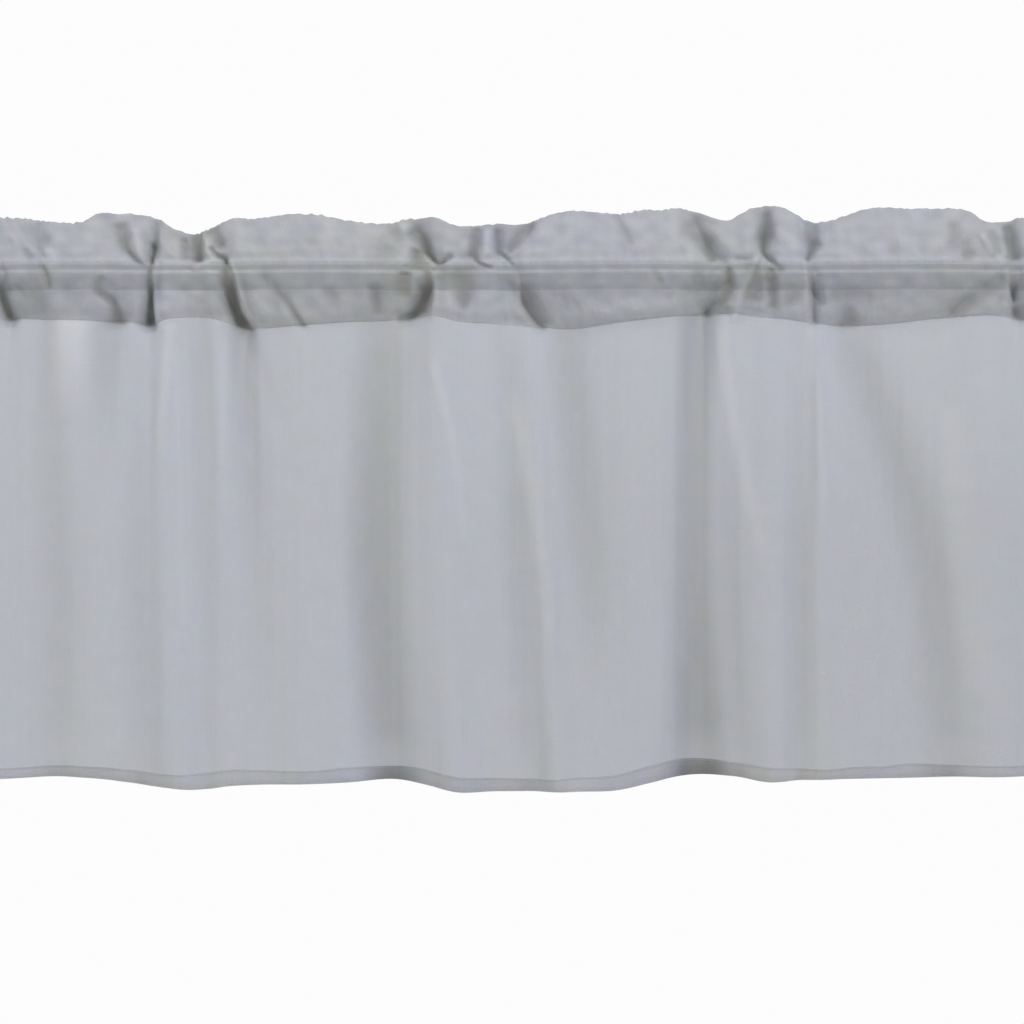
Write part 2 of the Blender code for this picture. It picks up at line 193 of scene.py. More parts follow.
# Depth of the hem along the rod, and how much painted light pales it there
BOTTOM_HEM = [
    Turning(-459.0, 8.4, 0.78),
    Turning(-387.0, 8.4, 0.78),
    Turning(-358.0, 8.8, 0.70),
    Turning(-330.0, 9.2, 0.52),
    Turning(-301.0, 10.2, 0.76),
    Turning(-272.0, 10.8, 0.78),
    Turning(-246.0, 13.2, 0.80),
    Turning(-221.0, 12.0, 0.80),
    Turning(-195.0, 11.0, 0.76),
    Turning(-157.0, 10.6, 0.74),
    Turning(-131.0, 11.9, 0.72),
    Turning(-109.0, 11.4, 0.92),
    Turning(-90.0, 10.2, 0.88),
    Turning(-54.0, 11.8, 0.70),
    Turning(-27.0, 11.0, 0.66),
    Turning(10.0, 9.5, 0.72),
    Turning(35.0, 11.0, 0.98),
    Turning(74.0, 11.9, 0.82),
    Turning(112.0, 13.6, 0.78),
    Turning(150.0, 13.4, 1.00),
    Turning(176.0, 12.0, 1.00),
    Turning(190.0, 11.0, 0.92),
    Turning(204.0, 11.8, 0.86),
    Turning(227.0, 9.4, 1.00),
    Turning(253.0, 8.0, 0.78),
    Turning(278.0, 9.6, 0.78),
    Turning(304.0, 9.4, 0.84),
    Turning(330.0, 11.4, 0.88),
    Turning(355.0, 10.8, 0.80),
    Turning(381.0, 9.3, 0.90),
    Turning(409.0, 8.2, 0.86),
    Turning(459.0, 8.4, 0.84),
]
CLOTH_WIDTH = 918.0
GATHER_HEIGHT = 12.6
SIDE_HEM = 11.0
ROD_RADIUS = 9.5
print("stations:", len(TOP_EDGE), len(SECTIONS), len(BOTTOM_HEM))

# %% [markdown]
# ## The pinches of the gathering
# Pushed together on the rod, the cloth doesn't fold evenly. It draws in at a few narrow pinches and
# puffs forward between them. Each row below is one pinch: where it crosses the top edge, the gather
# line and the seam, how deep it is in the header and the pocket, its half width, how far it runs
# down the drop, and how far the next stretch of cloth puffs forward. A table of real folds keeps them
# uneven, which a repeated wave would not.

# %% Pinches, left to right
Pinch = namedtuple("Pinch", "top gather seam header pocket width reach puff")
PINCHES = [
    Pinch(-458.0, -458.0, -458.0, 0.0, 0.0, 9.0, 12.0, 6.0),
    Pinch(-412.8, -412.0, -402.0, 1.0, 8.0, 7.0, 12.0, 8.0),
    Pinch(-378.0, -372.0, -378.0, 0.5, 2.0, 6.0, 10.0, None),
    Pinch(-316.0, -307.0, -308.0, 2.0, 1.0, 7.0, 10.0, None),
    Pinch(-288.0, -289.0, -290.0, 4.0, 9.0, 5.0, 10.0, 1.0),
    Pinch(-258.0, -254.0, -250.0, 2.0, 1.0, 6.0, 10.0, None),
    Pinch(-244.0, -231.0, -214.0, 3.0, 9.0, 6.5, 26.0, 9.0),
    Pinch(-80.0, -64.0, -82.0, 4.0, 10.0, 9.0, 12.0, 4.0),
    Pinch(-42.0, -41.0, -39.2, 1.0, 2.0, 6.0, 8.0, None),
    Pinch(-12.0, -9.0, -8.0, 2.0, 1.0, 5.0, 10.0, None),
    Pinch(16.0, -1.0, 20.0, 2.0, 7.0, 7.0, 10.0, 11.0),
    Pinch(84.0, 90.0, 92.0, 0.5, 1.0, 9.0, 10.0, None),
    Pinch(142.0, 169.0, 154.0, 4.0, 8.0, 8.0, 20.0, 6.5),
    Pinch(201.6, 201.0, 192.0, 4.0, 4.0, 6.0, 10.0, 7.0),
    Pinch(208.0, 208.0, 208.0, 1.0, 3.0, 5.0, 10.0, None),
    Pinch(240.0, 239.0, 241.0, 3.0, 6.0, 5.5, 8.0, 11.0),
    Pinch(287.0, 287.0, 287.0, 0.5, 1.0, 7.0, 10.0, None),
    Pinch(372.0, 378.0, 346.0, 1.0, 2.0, 8.0, 10.0, None),
    Pinch(402.0, 401.0, 402.0, 3.0, 9.0, 6.0, 10.0, 7.0),
    Pinch(436.0, 437.0, 435.0, 3.0, 6.0, 7.0, 20.0, None),
    Pinch(458.0, 458.0, 458.0, 0.0, 0.0, 9.0, 12.0, 0.0),
]
print("pinches:", len(PINCHES))

# %% [markdown]
# ## The folds of the drop
# Below the seam the pinches relax into broad soft folds. Each row says where a fold lies at the seam,
# half way down and at the hem, how far it stands forward or back there, and its half width at both ends.

# %% Folds, left to right
Fold = namedtuple("Fold", "x_seam x_mid x_hem seam mid hem wide0 wide1")
FOLDS = [
    Fold(-436.0, -434.0, -430.0, 3.0, 5.0, 7.0, 24.0, 24.0),
    Fold(-376.0, -366.0, -364.0, -3.0, -3.5, -3.0, 10.0, 17.0),
    Fold(-323.0, -332.0, -342.0, -6.0, 2.0, 3.0, 11.0, 14.0),
    Fold(-296.0, -298.0, -296.0, 0.0, -3.0, -3.0, 12.0, 12.0),
    Fold(-278.0, -276.0, -268.0, 4.0, 5.0, 9.0, 11.0, 16.0),
    Fold(-252.0, -246.0, -244.0, -3.0, -2.0, -2.0, 8.0, 8.0),
    Fold(-238.0, -232.0, -234.0, 3.0, 3.0, 2.0, 7.0, 7.0),
    Fold(-217.0, -204.0, -190.0, -6.0, -3.0, -1.0, 10.0, 14.0),
    Fold(-166.0, -163.0, -160.0, 4.0, 4.0, 4.0, 28.0, 28.0),
    Fold(-102.0, -109.0, -96.0, -6.5, -10.2, -10.5, 22.0, 22.0),
    Fold(-58.0, -54.0, -46.0, 6.0, 6.0, 11.0, 16.0, 18.0),
    Fold(-3.0, 4.0, 16.0, -3.0, -4.5, -3.0, 10.0, 11.0),
    Fold(12.0, 24.0, 38.0, 4.0, 7.0, 9.0, 13.0, 15.0),
    Fold(40.0, 62.0, 78.0, -5.5, -4.5, 3.0, 18.0, 22.0),
    Fold(98.0, 100.0, 104.0, 6.0, 5.0, 0.0, 24.0, 24.0),
    Fold(147.0, 145.0, 150.0, -9.0, -8.8, -14.5, 11.0, 22.0),
    Fold(170.0, 174.0, 184.0, 2.0, -4.2, -3.0, 9.0, 10.0),
    Fold(202.0, 204.0, 208.0, 4.0, 6.0, 7.0, 18.0, 16.0),
    Fold(232.0, 230.0, 230.0, -2.0, -4.0, -4.0, 8.0, 8.0),
    Fold(243.0, 246.0, 250.0, 4.0, 5.0, 4.0, 10.0, 10.0),
    Fold(264.0, 332.0, 354.0, -5.0, -6.2, -5.6, 18.0, 22.0),
    Fold(378.0, 380.0, 384.0, 7.0, 8.0, 7.0, 24.0, 24.0),
    Fold(430.0, 428.0, 424.0, -4.0, -5.0, -5.0, 16.0, 16.0),
]
print("folds:", len(FOLDS))

# %% [markdown]
# ## How the shape changes from top to hem
# A row number v runs down the front: 0 to 1 is the header, 1 to 2 the pocket and 2 to 3 the drop.
# Each row of this table says how far the cloth stands in front of the rod's axis at that v, and how
# much of the puffs, pinches and folds it takes. Between its rows the same smooth curve is used. The
# pocket's back wall has a shorter profile of its own, and takes less of the puffs and pinches.

# %% Profile of the front from top edge to hem
Row = namedtuple("Row", "v front puff pinch fold")
ROWS = [
    Row(0.03, 3.6, 0.55, 0.55, 0.15),
    Row(0.36, 4.6, 0.70, 0.75, 0.15),
    Row(0.74, 5.3, 0.68, 1.00, 0.10),
    Row(1.00, 6.1, 0.63, 0.80, 0.05),
    Row(1.07, 8.6, 0.66, 0.60, 0.10),
    Row(1.17, 11.8, 0.78, 0.90, 0.15),
    Row(1.29, 13.6, 0.95, 1.00, 0.20),
    Row(1.44, 14.6, 1.00, 1.00, 0.35),
    Row(1.62, 14.0, 0.95, 0.95, 0.55),
    Row(1.81, 12.2, 0.82, 0.90, 0.80),
    Row(1.97, 10.0, 0.66, 0.85, 1.00),
    Row(2.012, 9.8, 0.56, 0.50, 0.95),
    Row(2.06, 9.9, 0.52, 0.28, 0.90),
    Row(2.14, 10.0, 0.40, 0.18, 0.85),
    Row(2.26, 10.0, 0.27, 0.16, 0.80),
    Row(2.42, 10.0, 0.16, 0.15, 0.80),
    Row(2.58, 10.0, 0.10, 0.12, 0.80),
    Row(2.74, 10.0, 0.06, 0.10, 0.80),
    Row(2.88, 10.0, 0.03, 0.08, 0.80),
    Row(3.00, 10.0, 0.02, 0.05, 0.80),
]
ROW_V = [r.v for r in ROWS]
BACK_V = [1.0, 1.07, 1.17, 1.29, 1.44, 1.62, 1.81, 2.0]
BACK_DEPTH = [2.0, 6.8, 11.0, 13.0, 12.8, 10.4, 6.4, -8.0]
BACK_PUFF, BACK_PINCH = 0.35, 0.30


# %% The cloth's places as functions of column u and row v
LEAN_POWER = 1.8  # the higher, the later a pinch turns aside on its way down the pocket
PUFF_POWER = 2.4  # the higher, the flatter a puff is between its pinches
FADE_POWER = 1.3  # of a pinch's fading over its reach down the drop
SPREAD_LENGTH, MOST_SPREAD = 160.0, 1.5  # down the drop a pinch grows wider, up to so much
POCKET_DEEPENS = 4.0  # a pinch has its pocket depth from a quarter of the pocket down
HALF_WAYS = [0.0, 0.5, 1.0]  # where a fold's three places and heights are given


def lean(u, v):
    """Sideways shift of column u at row v: it follows each pinch's own line from top to seam."""
    at = np.array([p.gather for p in PINCHES])
    up = np.array([p.top - p.gather for p in PINCHES])
    down = np.array([p.seam - p.gather for p in PINCHES])
    header = np.interp(u, at, up) * np.clip(1.0 - v, 0.0, 1.0)
    return header + np.interp(u, at, down) * np.clip(v - 1.0, 0.0, 1.0) ** LEAN_POWER


def height(x, v):
    """Heights at place x of row v and of the seam: row v's is a straight mix of its two edges."""
    at = [s.x for s in SECTIONS]
    top = eased(x, [s.x for s in TOP_EDGE], [s.z for s in TOP_EDGE])
    seam = eased(x, at, [s.seam for s in SECTIONS])
    hem = eased(x, at, [s.hem for s in SECTIONS])
    z = top + np.clip(v, 0, 1) * (GATHER_HEIGHT - top)
    z = z + np.clip(v - 1, 0, 1) * (seam - GATHER_HEIGHT)
    return z + np.clip(v - 2, 0, 1) * (hem - seam), seam


def puffs(u):
    """Forward puff between pinches: its height times one minus (distance from its middle) ^ 2.4."""
    bounds = [p for p in PINCHES if p.puff is not None]
    out = np.zeros_like(u)
    for left, right in zip(bounds, bounds[1:]):
        t = np.clip((u - left.gather) / (right.gather - left.gather), 0.0, 1.0)
        out += np.where((t > 0) & (t < 1), left.puff * (1 - np.abs(2 * t - 1) ** PUFF_POWER), 0.0)
    return out


def drawn_in(u, v, down):
    """Depth of the pinches: a bell across each, deeper in the pocket, fading down the drop."""
    out = np.zeros_like(u)
    for p in PINCHES:
        mix = np.clip((v - 1.0) * POCKET_DEEPENS, 0.0, 1.0)
        depth = p.header + (p.pocket - p.header) * mix
        depth = depth * np.exp(-((np.maximum(down, 0.0) / p.reach) ** FADE_POWER))
        widen = 1.0 + np.clip(down / SPREAD_LENGTH, 0.0, MOST_SPREAD)
        out += depth * np.exp(-(((u - p.gather) / (p.width * widen)) ** 2))
    return out


def fold_relief(x, v):
    """Relief of the drop's folds: a bell across each, whose place and height ease down the drop."""
    s = np.clip(v - 2.0, 0.0, 1.0)
    out = np.zeros_like(x)
    for f in FOLDS:
        middle = eased(s, HALF_WAYS, [f.x_seam, f.x_mid, f.x_hem])
        stands = eased(s, HALF_WAYS, [f.seam, f.mid, f.hem])
        out += stands * np.exp(-(((x - middle) / (f.wide0 + (f.wide1 - f.wide0) * s)) ** 2))
    return out


# %% [markdown]
# ## Creases
# Crisp voile also takes creases: lips where one panel laps over the next, dark slots beside them, and
# soft dents where it was pressed. The main ones are listed one by one. Each has its two ends, a bend to
# the right as it runs down, a half width and a height at either end (negative for a trough), and a
# sharp side: +1 makes its right side steep, -1 its left. They could be simulated, but placed
# ones follow the real cloth.

# %% Creases, by x and z of both ends in millimetres
Crease = namedtuple("Crease", "x0 z0 x1 z1 bend wide0 wide1 high0 high1 sharp")
HEADING_CREASES = [
    Crease(-413.0, -6.0, -400.0, -35.0, -1.0, 6.0, 7.5, -4.0, -4.2, -0.4),
    Crease(-382.0, 40.0, -375.0, 28.0, 0.0, 9.0, 8.0, -1.6, -1.8, 0.0),
    Crease(-391.0, -9.0, -387.0, -29.0, 0.0, 13.0, 12.0, -2.0, -2.2, 0.0),
    Crease(-390.0, 22.0, -386.0, 16.0, 0.0, 3.0, 3.0, -1.6, -1.6, 0.0),
    Crease(-379.0, 24.0, -376.0, 18.0, 0.0, 2.6, 2.6, -2.4, -2.0, 0.0),
    Crease(-371.0, 20.0, -370.0, 8.0, 0.0, 5.0, 5.0, 1.6, 1.6, 0.0),
    Crease(-375.0, 8.0, -369.0, -8.0, 1.0, 3.0, 3.6, -3.0, -3.0, 0.3),
    Crease(-327.0, -1.0, -331.0, -11.0, -1.0, 2.8, 3.2, -2.8, -3.4, 0.0),
    Crease(-331.0, -11.0, -320.0, -19.0, 0.0, 3.4, 3.6, -3.4, -3.6, 0.0),
    Crease(-319.0, -18.0, -315.0, -36.0, 1.0, 4.0, 9.0, -3.6, -4.8, 0.4),
    Crease(-315.0, 42.0, -310.0, 24.0, 0.0, 6.0, 4.0, -2.6, -4.0, 0.0),
    Crease(-310.0, 24.0, -293.0, 8.0, -1.0, 3.6, 2.0, -3.6, -1.8, 0.3),
    Crease(-302.0, 38.0, -297.0, 16.0, 0.0, 3.6, 3.2, 2.2, 2.8, 0.0),
    Crease(-287.0, 40.0, -286.0, 27.0, 0.0, 3.4, 2.6, -1.2, -2.4, 0.0),
    Crease(-287.4, 27.0, -289.0, 17.0, 0.5, 3.4, 2.2, -4.7, -4.3, 0.0),
    Crease(-289.6, 17.0, -289.6, -12.0, 0.0, 2.2, 2.8, -4.8, -4.8, 0.2),
    Crease(-289.0, -12.0, -288.0, -38.0, 0.0, 2.8, 11.0, -4.6, -5.4, 0.9),
    Crease(-286.0, 10.0, -285.0, -34.0, 0.0, 2.4, 2.4, 1.6, 2.8, -0.5),
    Crease(-263.0, 30.0, -262.0, 16.0, 0.0, 4.0, 4.0, -2.8, -2.8, 0.0),
    Crease(-253.0, 36.0, -252.0, 14.0, 0.0, 5.6, 5.0, -3.8, -4.8, 0.3),
    Crease(-243.0, 31.0, -241.0, 18.0, 0.0, 4.0, 3.4, 2.4, 2.4, 0.0),
    Crease(-254.0, 7.0, -233.0, 16.0, 1.0, 2.6, 2.2, 1.8, 1.8, 0.0),
    Crease(-242.0, 38.0, -234.0, 26.0, 0.0, 7.0, 5.0, -2.4, -2.4, 0.0),
    Crease(-241.0, 24.0, -231.0, 16.0, -1.5, 2.8, 2.6, -3.8, -4.0, 0.3),
    Crease(-240.0, -12.0, -237.0, -30.0, 0.0, 9.0, 9.0, -1.2, -1.2, 0.0),
    Crease(-229.5, 15.0, -223.5, -10.0, -0.5, 2.8, 9.0, -4.8, -5.4, 0.8),
    Crease(-222.8, -12.0, -219.8, -27.0, 0.0, 9.5, 9.5, -5.4, -5.2, 0.85),
    Crease(-220.5, -27.0, -209.5, -40.0, 0.0, 7.0, 4.5, -5.0, -4.2, 0.6),
    Crease(-231.0, -14.0, -219.0, -36.0, 0.0, 6.0, 4.5, -3.0, -3.4, 0.0),
    Crease(-205.0, -16.0, -199.0, -31.0, 0.0, 8.0, 8.5, 2.0, 2.0, 0.0),
    Crease(-226.0, 13.0, -217.5, -12.0, 1.0, 2.0, 2.4, 2.0, 3.0, -0.4),
    Crease(-217.5, -12.0, -213.5, -28.0, 0.0, 2.4, 2.6, 3.0, 2.6, -0.4),
    Crease(-213.5, -28.0, -204.0, -38.0, 0.0, 2.6, 2.6, 2.6, 1.6, -0.4),
    Crease(-198.0, -1.0, -179.0, -20.0, 0.0, 3.6, 4.2, -1.6, -2.8, 0.2),
    Crease(-179.0, -20.0, -166.0, -39.0, 0.0, 4.2, 3.4, -2.8, -3.4, 0.5),
    Crease(-172.0, 43.0, -171.0, 20.0, 0.0, 4.4, 4.4, -0.9, -0.9, 0.0),
    Crease(-146.0, -11.0, -143.0, -25.0, 0.0, 5.0, 5.0, -1.8, -1.6, 0.0),
    Crease(-96.0, 44.0, -92.0, 30.0, 0.0, 5.0, 7.0, -1.8, -1.6, 0.0),
    Crease(-106.0, 27.0, -97.0, 17.0, 0.0, 13.0, 13.0, -1.4, -1.4, 0.0),
    Crease(-110.0, -9.0, -108.0, -27.0, 0.0, 5.0, 5.0, -3.8, -3.0, 0.0),
    Crease(-79.0, 38.0, -68.0, 22.0, 1.5, 7.0, 5.4, -3.4, -5.0, 0.2),
    Crease(-68.0, 22.0, -59.0, 11.0, 0.0, 5.0, 2.2, -5.2, -4.4, 0.5),
    Crease(-76.0, 22.0, -75.0, 8.0, 0.0, 5.0, 7.0, -4.0, -4.2, 0.0),
    Crease(-57.0, 11.0, -49.0, 18.0, 0.0, 2.2, 2.6, -4.6, -3.0, 0.0),
    Crease(-67.0, 17.0, -64.0, 8.0, 0.0, 2.4, 3.4, 2.4, 3.0, 0.0),
    Crease(-86.0, 9.0, -70.0, 9.0, 0.0, 1.8, 1.8, -2.0, -2.4, 0.0),
    Crease(-86.0, 2.0, -86.0, -14.0, -1.0, 5.5, 6.5, -3.8, -3.9, 0.0),
    Crease(-76.0, 4.0, -77.0, -10.0, 0.0, 4.0, 4.0, 1.4, 1.6, 0.0),
    Crease(-68.0, 6.0, -66.0, -10.0, 1.0, 3.6, 7.0, -3.0, -4.8, 0.6),
    Crease(-66.0, -10.0, -71.0, -25.0, 1.0, 9.0, 10.0, -4.8, -4.8, 0.7),
    Crease(-71.0, -24.0, -90.0, -31.0, 0.0, 6.5, 3.4, -4.2, -3.2, -0.3),
    Crease(-62.0, 4.0, -63.0, -30.0, 0.5, 2.2, 2.4, 2.0, 2.4, -0.5),
    Crease(-43.0, 3.0, -38.0, -24.0, 0.0, 14.0, 4.5, -3.8, -3.0, 0.0),
    Crease(-35.0, -22.0, -36.0, -36.0, 0.0, 4.0, 4.0, 1.4, 1.2, 0.0),
    Crease(-28.0, 38.0, -31.0, 18.0, 0.0, 4.8, 4.6, -3.2, -4.6, 0.0),
    Crease(-31.0, 18.0, -17.0, 8.0, -2.6, 2.2, 2.0, -4.6, -3.2, 0.0),
    Crease(-20.0, 36.0, -20.0, 20.0, 0.0, 3.4, 3.4, 1.6, 1.8, 0.0),
    Crease(-11.0, 38.0, -10.0, 20.0, 0.0, 3.4, 3.2, -3.2, -4.2, 0.0),
    Crease(-8.0, 20.0, 2.0, 8.0, 0.0, 2.0, 1.8, -3.6, -2.4, 0.0),
    Crease(-6.0, 14.0, 0.0, 8.0, 0.0, 2.2, 2.2, 1.8, 1.4, 0.0),
    Crease(15.0, 42.0, -1.0, 22.0, 0.0, 10.0, 6.0, -2.6, -3.4, 0.85),
    Crease(9.0, -9.0, 11.0, -20.0, 0.0, 9.0, 14.0, -3.2, -4.2, -0.85),
    Crease(11.0, -20.0, 24.0, -38.0, -1.0, 13.0, 8.0, -4.2, -3.6, -0.85),
    Crease(58.0, -31.0, 132.0, -25.0, 0.0, 7.0, 7.0, 1.4, 1.6, 0.0),
    Crease(4.0, 0.0, 8.0, -30.0, 0.0, 2.4, 2.4, 1.6, 2.0, 0.4),
    Crease(81.0, 50.0, 95.0, 27.0, 1.0, 3.6, 3.6, -1.3, -1.5, 0.0),
    Crease(113.0, 4.0, 118.0, -6.0, 0.0, 2.4, 2.6, -2.2, -2.4, 0.0),
    Crease(121.0, 2.0, 124.0, -6.0, 0.0, 2.6, 2.6, 1.2, 1.2, 0.0),
    Crease(143.0, 44.0, 155.0, 26.0, -1.0, 8.0, 8.0, -2.0, -2.8, 0.2),
    Crease(154.0, 27.0, 162.0, 15.0, 0.0, 6.0, 4.6, -3.4, -3.8, 0.4),
    Crease(148.0, 2.0, 152.0, -10.0, 0.0, 6.0, 7.0, -2.4, -2.6, 0.0),
    Crease(173.0, 5.0, 174.5, -6.0, 0.5, 3.6, 5.0, -4.7, -5.2, 0.4),
    Crease(175.0, -6.0, 166.5, -22.0, 1.0, 5.4, 6.6, -5.0, -4.2, 0.4),
    Crease(172.0, -25.5, 157.0, -28.0, 0.0, 6.0, 5.5, -2.8, -2.6, 0.0),
    Crease(200.0, 19.0, 177.0, -31.0, -2.0, 2.8, 3.0, 2.6, 3.2, 0.0),
    Crease(204.0, 51.0, 203.5, 34.0, 0.0, 3.0, 6.4, -2.2, -4.2, 0.0),
    Crease(203.5, 34.0, 202.0, 20.0, 0.0, 6.4, 2.4, -4.2, -4.0, 0.3),
    Crease(203.0, 20.0, 215.0, 5.0, 0.5, 2.2, 3.2, -4.0, -3.6, 0.3),
    Crease(180.0, 15.5, 192.0, 15.0, 0.0, 2.0, 2.0, -2.0, -2.4, 0.0),
    Crease(194.0, 8.0, 191.0, -16.0, 0.0, 8.0, 9.0, -3.8, -3.2, 0.0),
    Crease(206.5, 5.0, 208.0, -24.0, 0.0, 4.4, 4.6, -4.2, -3.0, 0.0),
    Crease(241.0, 45.0, 243.0, 28.0, 0.0, 6.5, 5.8, -1.8, -3.4, 0.2),
    Crease(243.0, 28.0, 237.0, 15.0, 0.0, 5.4, 2.0, -3.8, -3.4, -0.4),
    Crease(235.0, 12.0, 237.0, -35.0, 0.0, 2.2, 2.4, 2.4, 2.8, 0.5),
    Crease(223.0, -9.0, 225.0, -20.0, 0.0, 10.0, 9.0, -2.4, -2.6, 0.0),
    Crease(240.0, 6.0, 243.0, -35.0, 0.0, 2.0, 2.4, -1.8, -2.2, -0.4),
    Crease(256.0, -15.0, 284.0, -17.0, 0.0, 6.5, 6.5, -1.8, -1.6, 0.0),
    Crease(242.0, -13.0, 246.0, -22.0, 0.0, 4.0, 5.0, -4.4, -2.6, -0.8),
    Crease(267.0, -26.0, 269.0, -36.0, 0.0, 5.0, 9.0, -2.6, -3.6, 0.0),
    Crease(392.0, -2.0, 350.0, -26.0, 1.5, 7.0, 7.0, -3.0, -2.6, 0.0),
    Crease(354.0, 42.0, 356.0, 24.0, 0.0, 6.0, 6.0, -1.6, -1.6, 0.0),
    Crease(362.0, 28.0, 366.0, 16.0, 0.0, 6.0, 6.0, -2.2, -2.4, 0.0),
    Crease(384.0, 36.0, 389.0, 20.0, 0.0, 4.6, 4.6, -2.0, -2.2, 0.0),
    Crease(377.0, 33.0, 393.0, 11.0, 0.0, 3.0, 3.0, 2.0, 2.2, 0.0),
    Crease(398.0, 40.0, 405.0, 16.0, 0.0, 5.0, 5.0, -3.0, -3.8, 0.0),
    Crease(396.5, 6.0, 397.0, -33.0, 0.0, 2.6, 2.6, 2.4, 2.6, 0.3),
    Crease(401.0, -7.0, 403.0, -17.0, 0.0, 3.4, 4.4, -4.0, -3.2, -0.5),
    Crease(406.0, -25.0, 409.0, -35.0, 0.0, 4.0, 5.0, -3.2, -3.8, 0.0),
]
DROP_CREASES = [
    Crease(-351.0, -38.0, -354.0, -104.0, 0.0, 17.0, 14.0, 3.6, 0.6, 0.0),
    Crease(-273.0, -40.0, -283.0, -138.0, 0.0, 5.0, 4.0, 2.0, 0.9, 0.0),
    Crease(-243.0, -46.0, -240.0, -170.0, 0.0, 5.0, 5.0, -1.0, -0.6, 0.0),
    Crease(-229.0, -52.0, -232.0, -146.0, 0.0, 3.5, 3.5, 1.0, 0.6, 0.0),
    Crease(-268.0, -60.0, -262.0, -290.0, 0.0, 2.6, 3.0, 0.8, 0.5, 0.0),
    Crease(-254.0, -50.0, -252.0, -230.0, 0.0, 2.4, 2.6, -0.8, -0.5, 0.0),
    Crease(-211.0, -42.0, -182.0, -112.0, -3.0, 6.0, 6.0, -1.8, -0.6, 0.0),
    Crease(-64.0, -70.0, -40.0, -200.0, 5.0, 4.0, 4.0, 1.4, 0.7, 0.0),
    Crease(-2.0, -96.0, 32.0, -290.0, 3.0, 6.0, 6.0, 1.4, 0.5, 0.0),
    Crease(166.0, -42.0, 200.0, -220.0, -4.0, 6.0, 6.0, 1.4, 0.9, 0.0),
    Crease(238.0, -84.0, 239.0, -190.0, 0.0, 4.0, 4.0, -0.7, -0.5, 0.0),
    Crease(244.0, -84.0, 250.0, -190.0, 0.0, 4.0, 4.0, 1.0, 0.8, 0.0),
    Crease(308.0, -70.0, 309.0, -200.0, 0.0, 3.0, 3.0, -0.8, -0.6, 0.0),
    Crease(350.0, -110.0, 368.0, -330.0, -3.0, 14.0, 14.0, 0.8, 0.8, -0.4),
]
CREASES = HEADING_CREASES + DROP_CREASES
print("creases:", len(CREASES))

# %% Relief of the creases
CREASE_POWER = 2.7  # above 2 the bell has a flatter floor and steeper sides
SHARPENED = 0.8  # the share of its width that a crease of sharpness 1 loses on its sharp side
END_REACH, END_SHARE = 1.2, 0.25  # how far a crease runs on past its ends: a length, and of its width


def crease_bells(x, z):
    """For each crease, its height along its line times e to the minus (distance over width) ^ 2.7."""
    for c in CREASES:
        along = np.array([c.x1 - c.x0, c.z1 - c.z0])
        length = np.hypot(*along)
        along /= length
        t = ((x - c.x0) * along[0] + (z - c.z0) * along[1]) / length
        on = np.clip(t, 0.0, 1.0)
        right = (z - c.z0) * along[0] - (x - c.x0) * along[1] - c.bend * 4 * on * (1 - on)
        wide = c.wide0 + (c.wide1 - c.wide0) * on
        steep_side = np.where(right > 0, max(c.sharp, 0.0), max(-c.sharp, 0.0))
        past = np.maximum(np.maximum(-t, t - 1.0), 0.0) * length
        off = np.abs(right) / (wide * (1 - SHARPENED * steep_side))
        bell = np.exp(-(off**CREASE_POWER) - (past / (END_SHARE * wide + END_REACH)) ** 2)
        yield (c.high0 + (c.high1 - c.high0) * on) * bell


def creased(x, z):
    """Relief of the creases: where creases of one sign meet, the deeper counts, not their sum."""
    ridge, trough = np.zeros_like(x), np.zeros_like(x)
    for relief in crease_bells(x, z):
        ridge, trough = np.maximum(ridge, relief), np.minimum(trough, relief)
    return ridge, trough


# %% [markdown]
# ## Small crumple
# Between the main creases the header and pocket are never quite flat, because crisp voile keeps every
# small dent. A noise texture could do this, but a sum of slanted sine waves is also known at any
# place, so that the stitches can follow it. Fixed seeds make it the same on every run. It is strongest
# in the header and pocket, and in the drop only long upright streaks stay. A last set of small waves
# frays the header's top edge.

# %% Slanted waves
Waves = namedtuple("Waves", "size angle phase slow")
SIZE_RANGE = (0.6, 1.7)
SWELL_LENGTH = 3.3  # waves along which a wave swells and fades once
STEADY, SWELLING = 0.6, 0.4  # the shares of a wave's height that stay and that swell
RIDGE_MIDDLE = 0.73  # taken off the ridges, so that they stand evenly about zero


def draw_waves(seed, length, count, spread):
    """Sizes from 0.6 to 1.7 of a length, with crests leaning up to the spread, in radians."""
    rng = np.random.default_rng(seed)
    size = length * rng.uniform(*SIZE_RANGE, count)
    return Waves(size, rng.uniform(-spread, spread, count), *rng.uniform(0, 2 * np.pi, (2, count)))


def crumple(x, z, waves, sharp=0.0):
    """Sum of sine waves that swell and fade slowly, over the root of their count; sharp mixes in
    ridges, two times one minus |sine of the half wave|."""
    out = np.zeros_like(x)
    for size, angle, phase, slow in zip(*waves):
        wave = (x * np.cos(angle) + z * np.sin(angle)) * 2 * np.pi / size + phase
        slowly = (x * np.sin(3 * angle + 1) + 0.6 * z) * 2 * np.pi / (SWELL_LENGTH * size) + slow
        ridge = 2 * (1 - np.abs(np.sin(wave / 2))) - RIDGE_MIDDLE
        out += ((1 - sharp) * np.sin(wave) + sharp * ridge) * (STEADY + SWELLING * np.sin(slowly))
    return out / np.sqrt(len(waves.size))


DENTS = draw_waves(11, 19.0, 14, np.pi / 2)
CRINKLES = draw_waves(23, 9.0, 14, np.pi / 2)
STREAKS = draw_waves(37, 13.0, 14, 0.12)
FRAY = draw_waves(53, 6.0, 12, 0.2)
print("waves:", sum(len(waves.size) for waves in (DENTS, CRINKLES, STREAKS, FRAY)))

# %% [markdown]
# ## The front layer
# Everything above adds up to one surface: profile, puffs, folds, pinches, creases and crumple. Close
# to the gather line the thread also draws up a row of tiny puckers. The pocket's front lies on the rod,
# so no point of it may come nearer to the axis than the rod's surface.

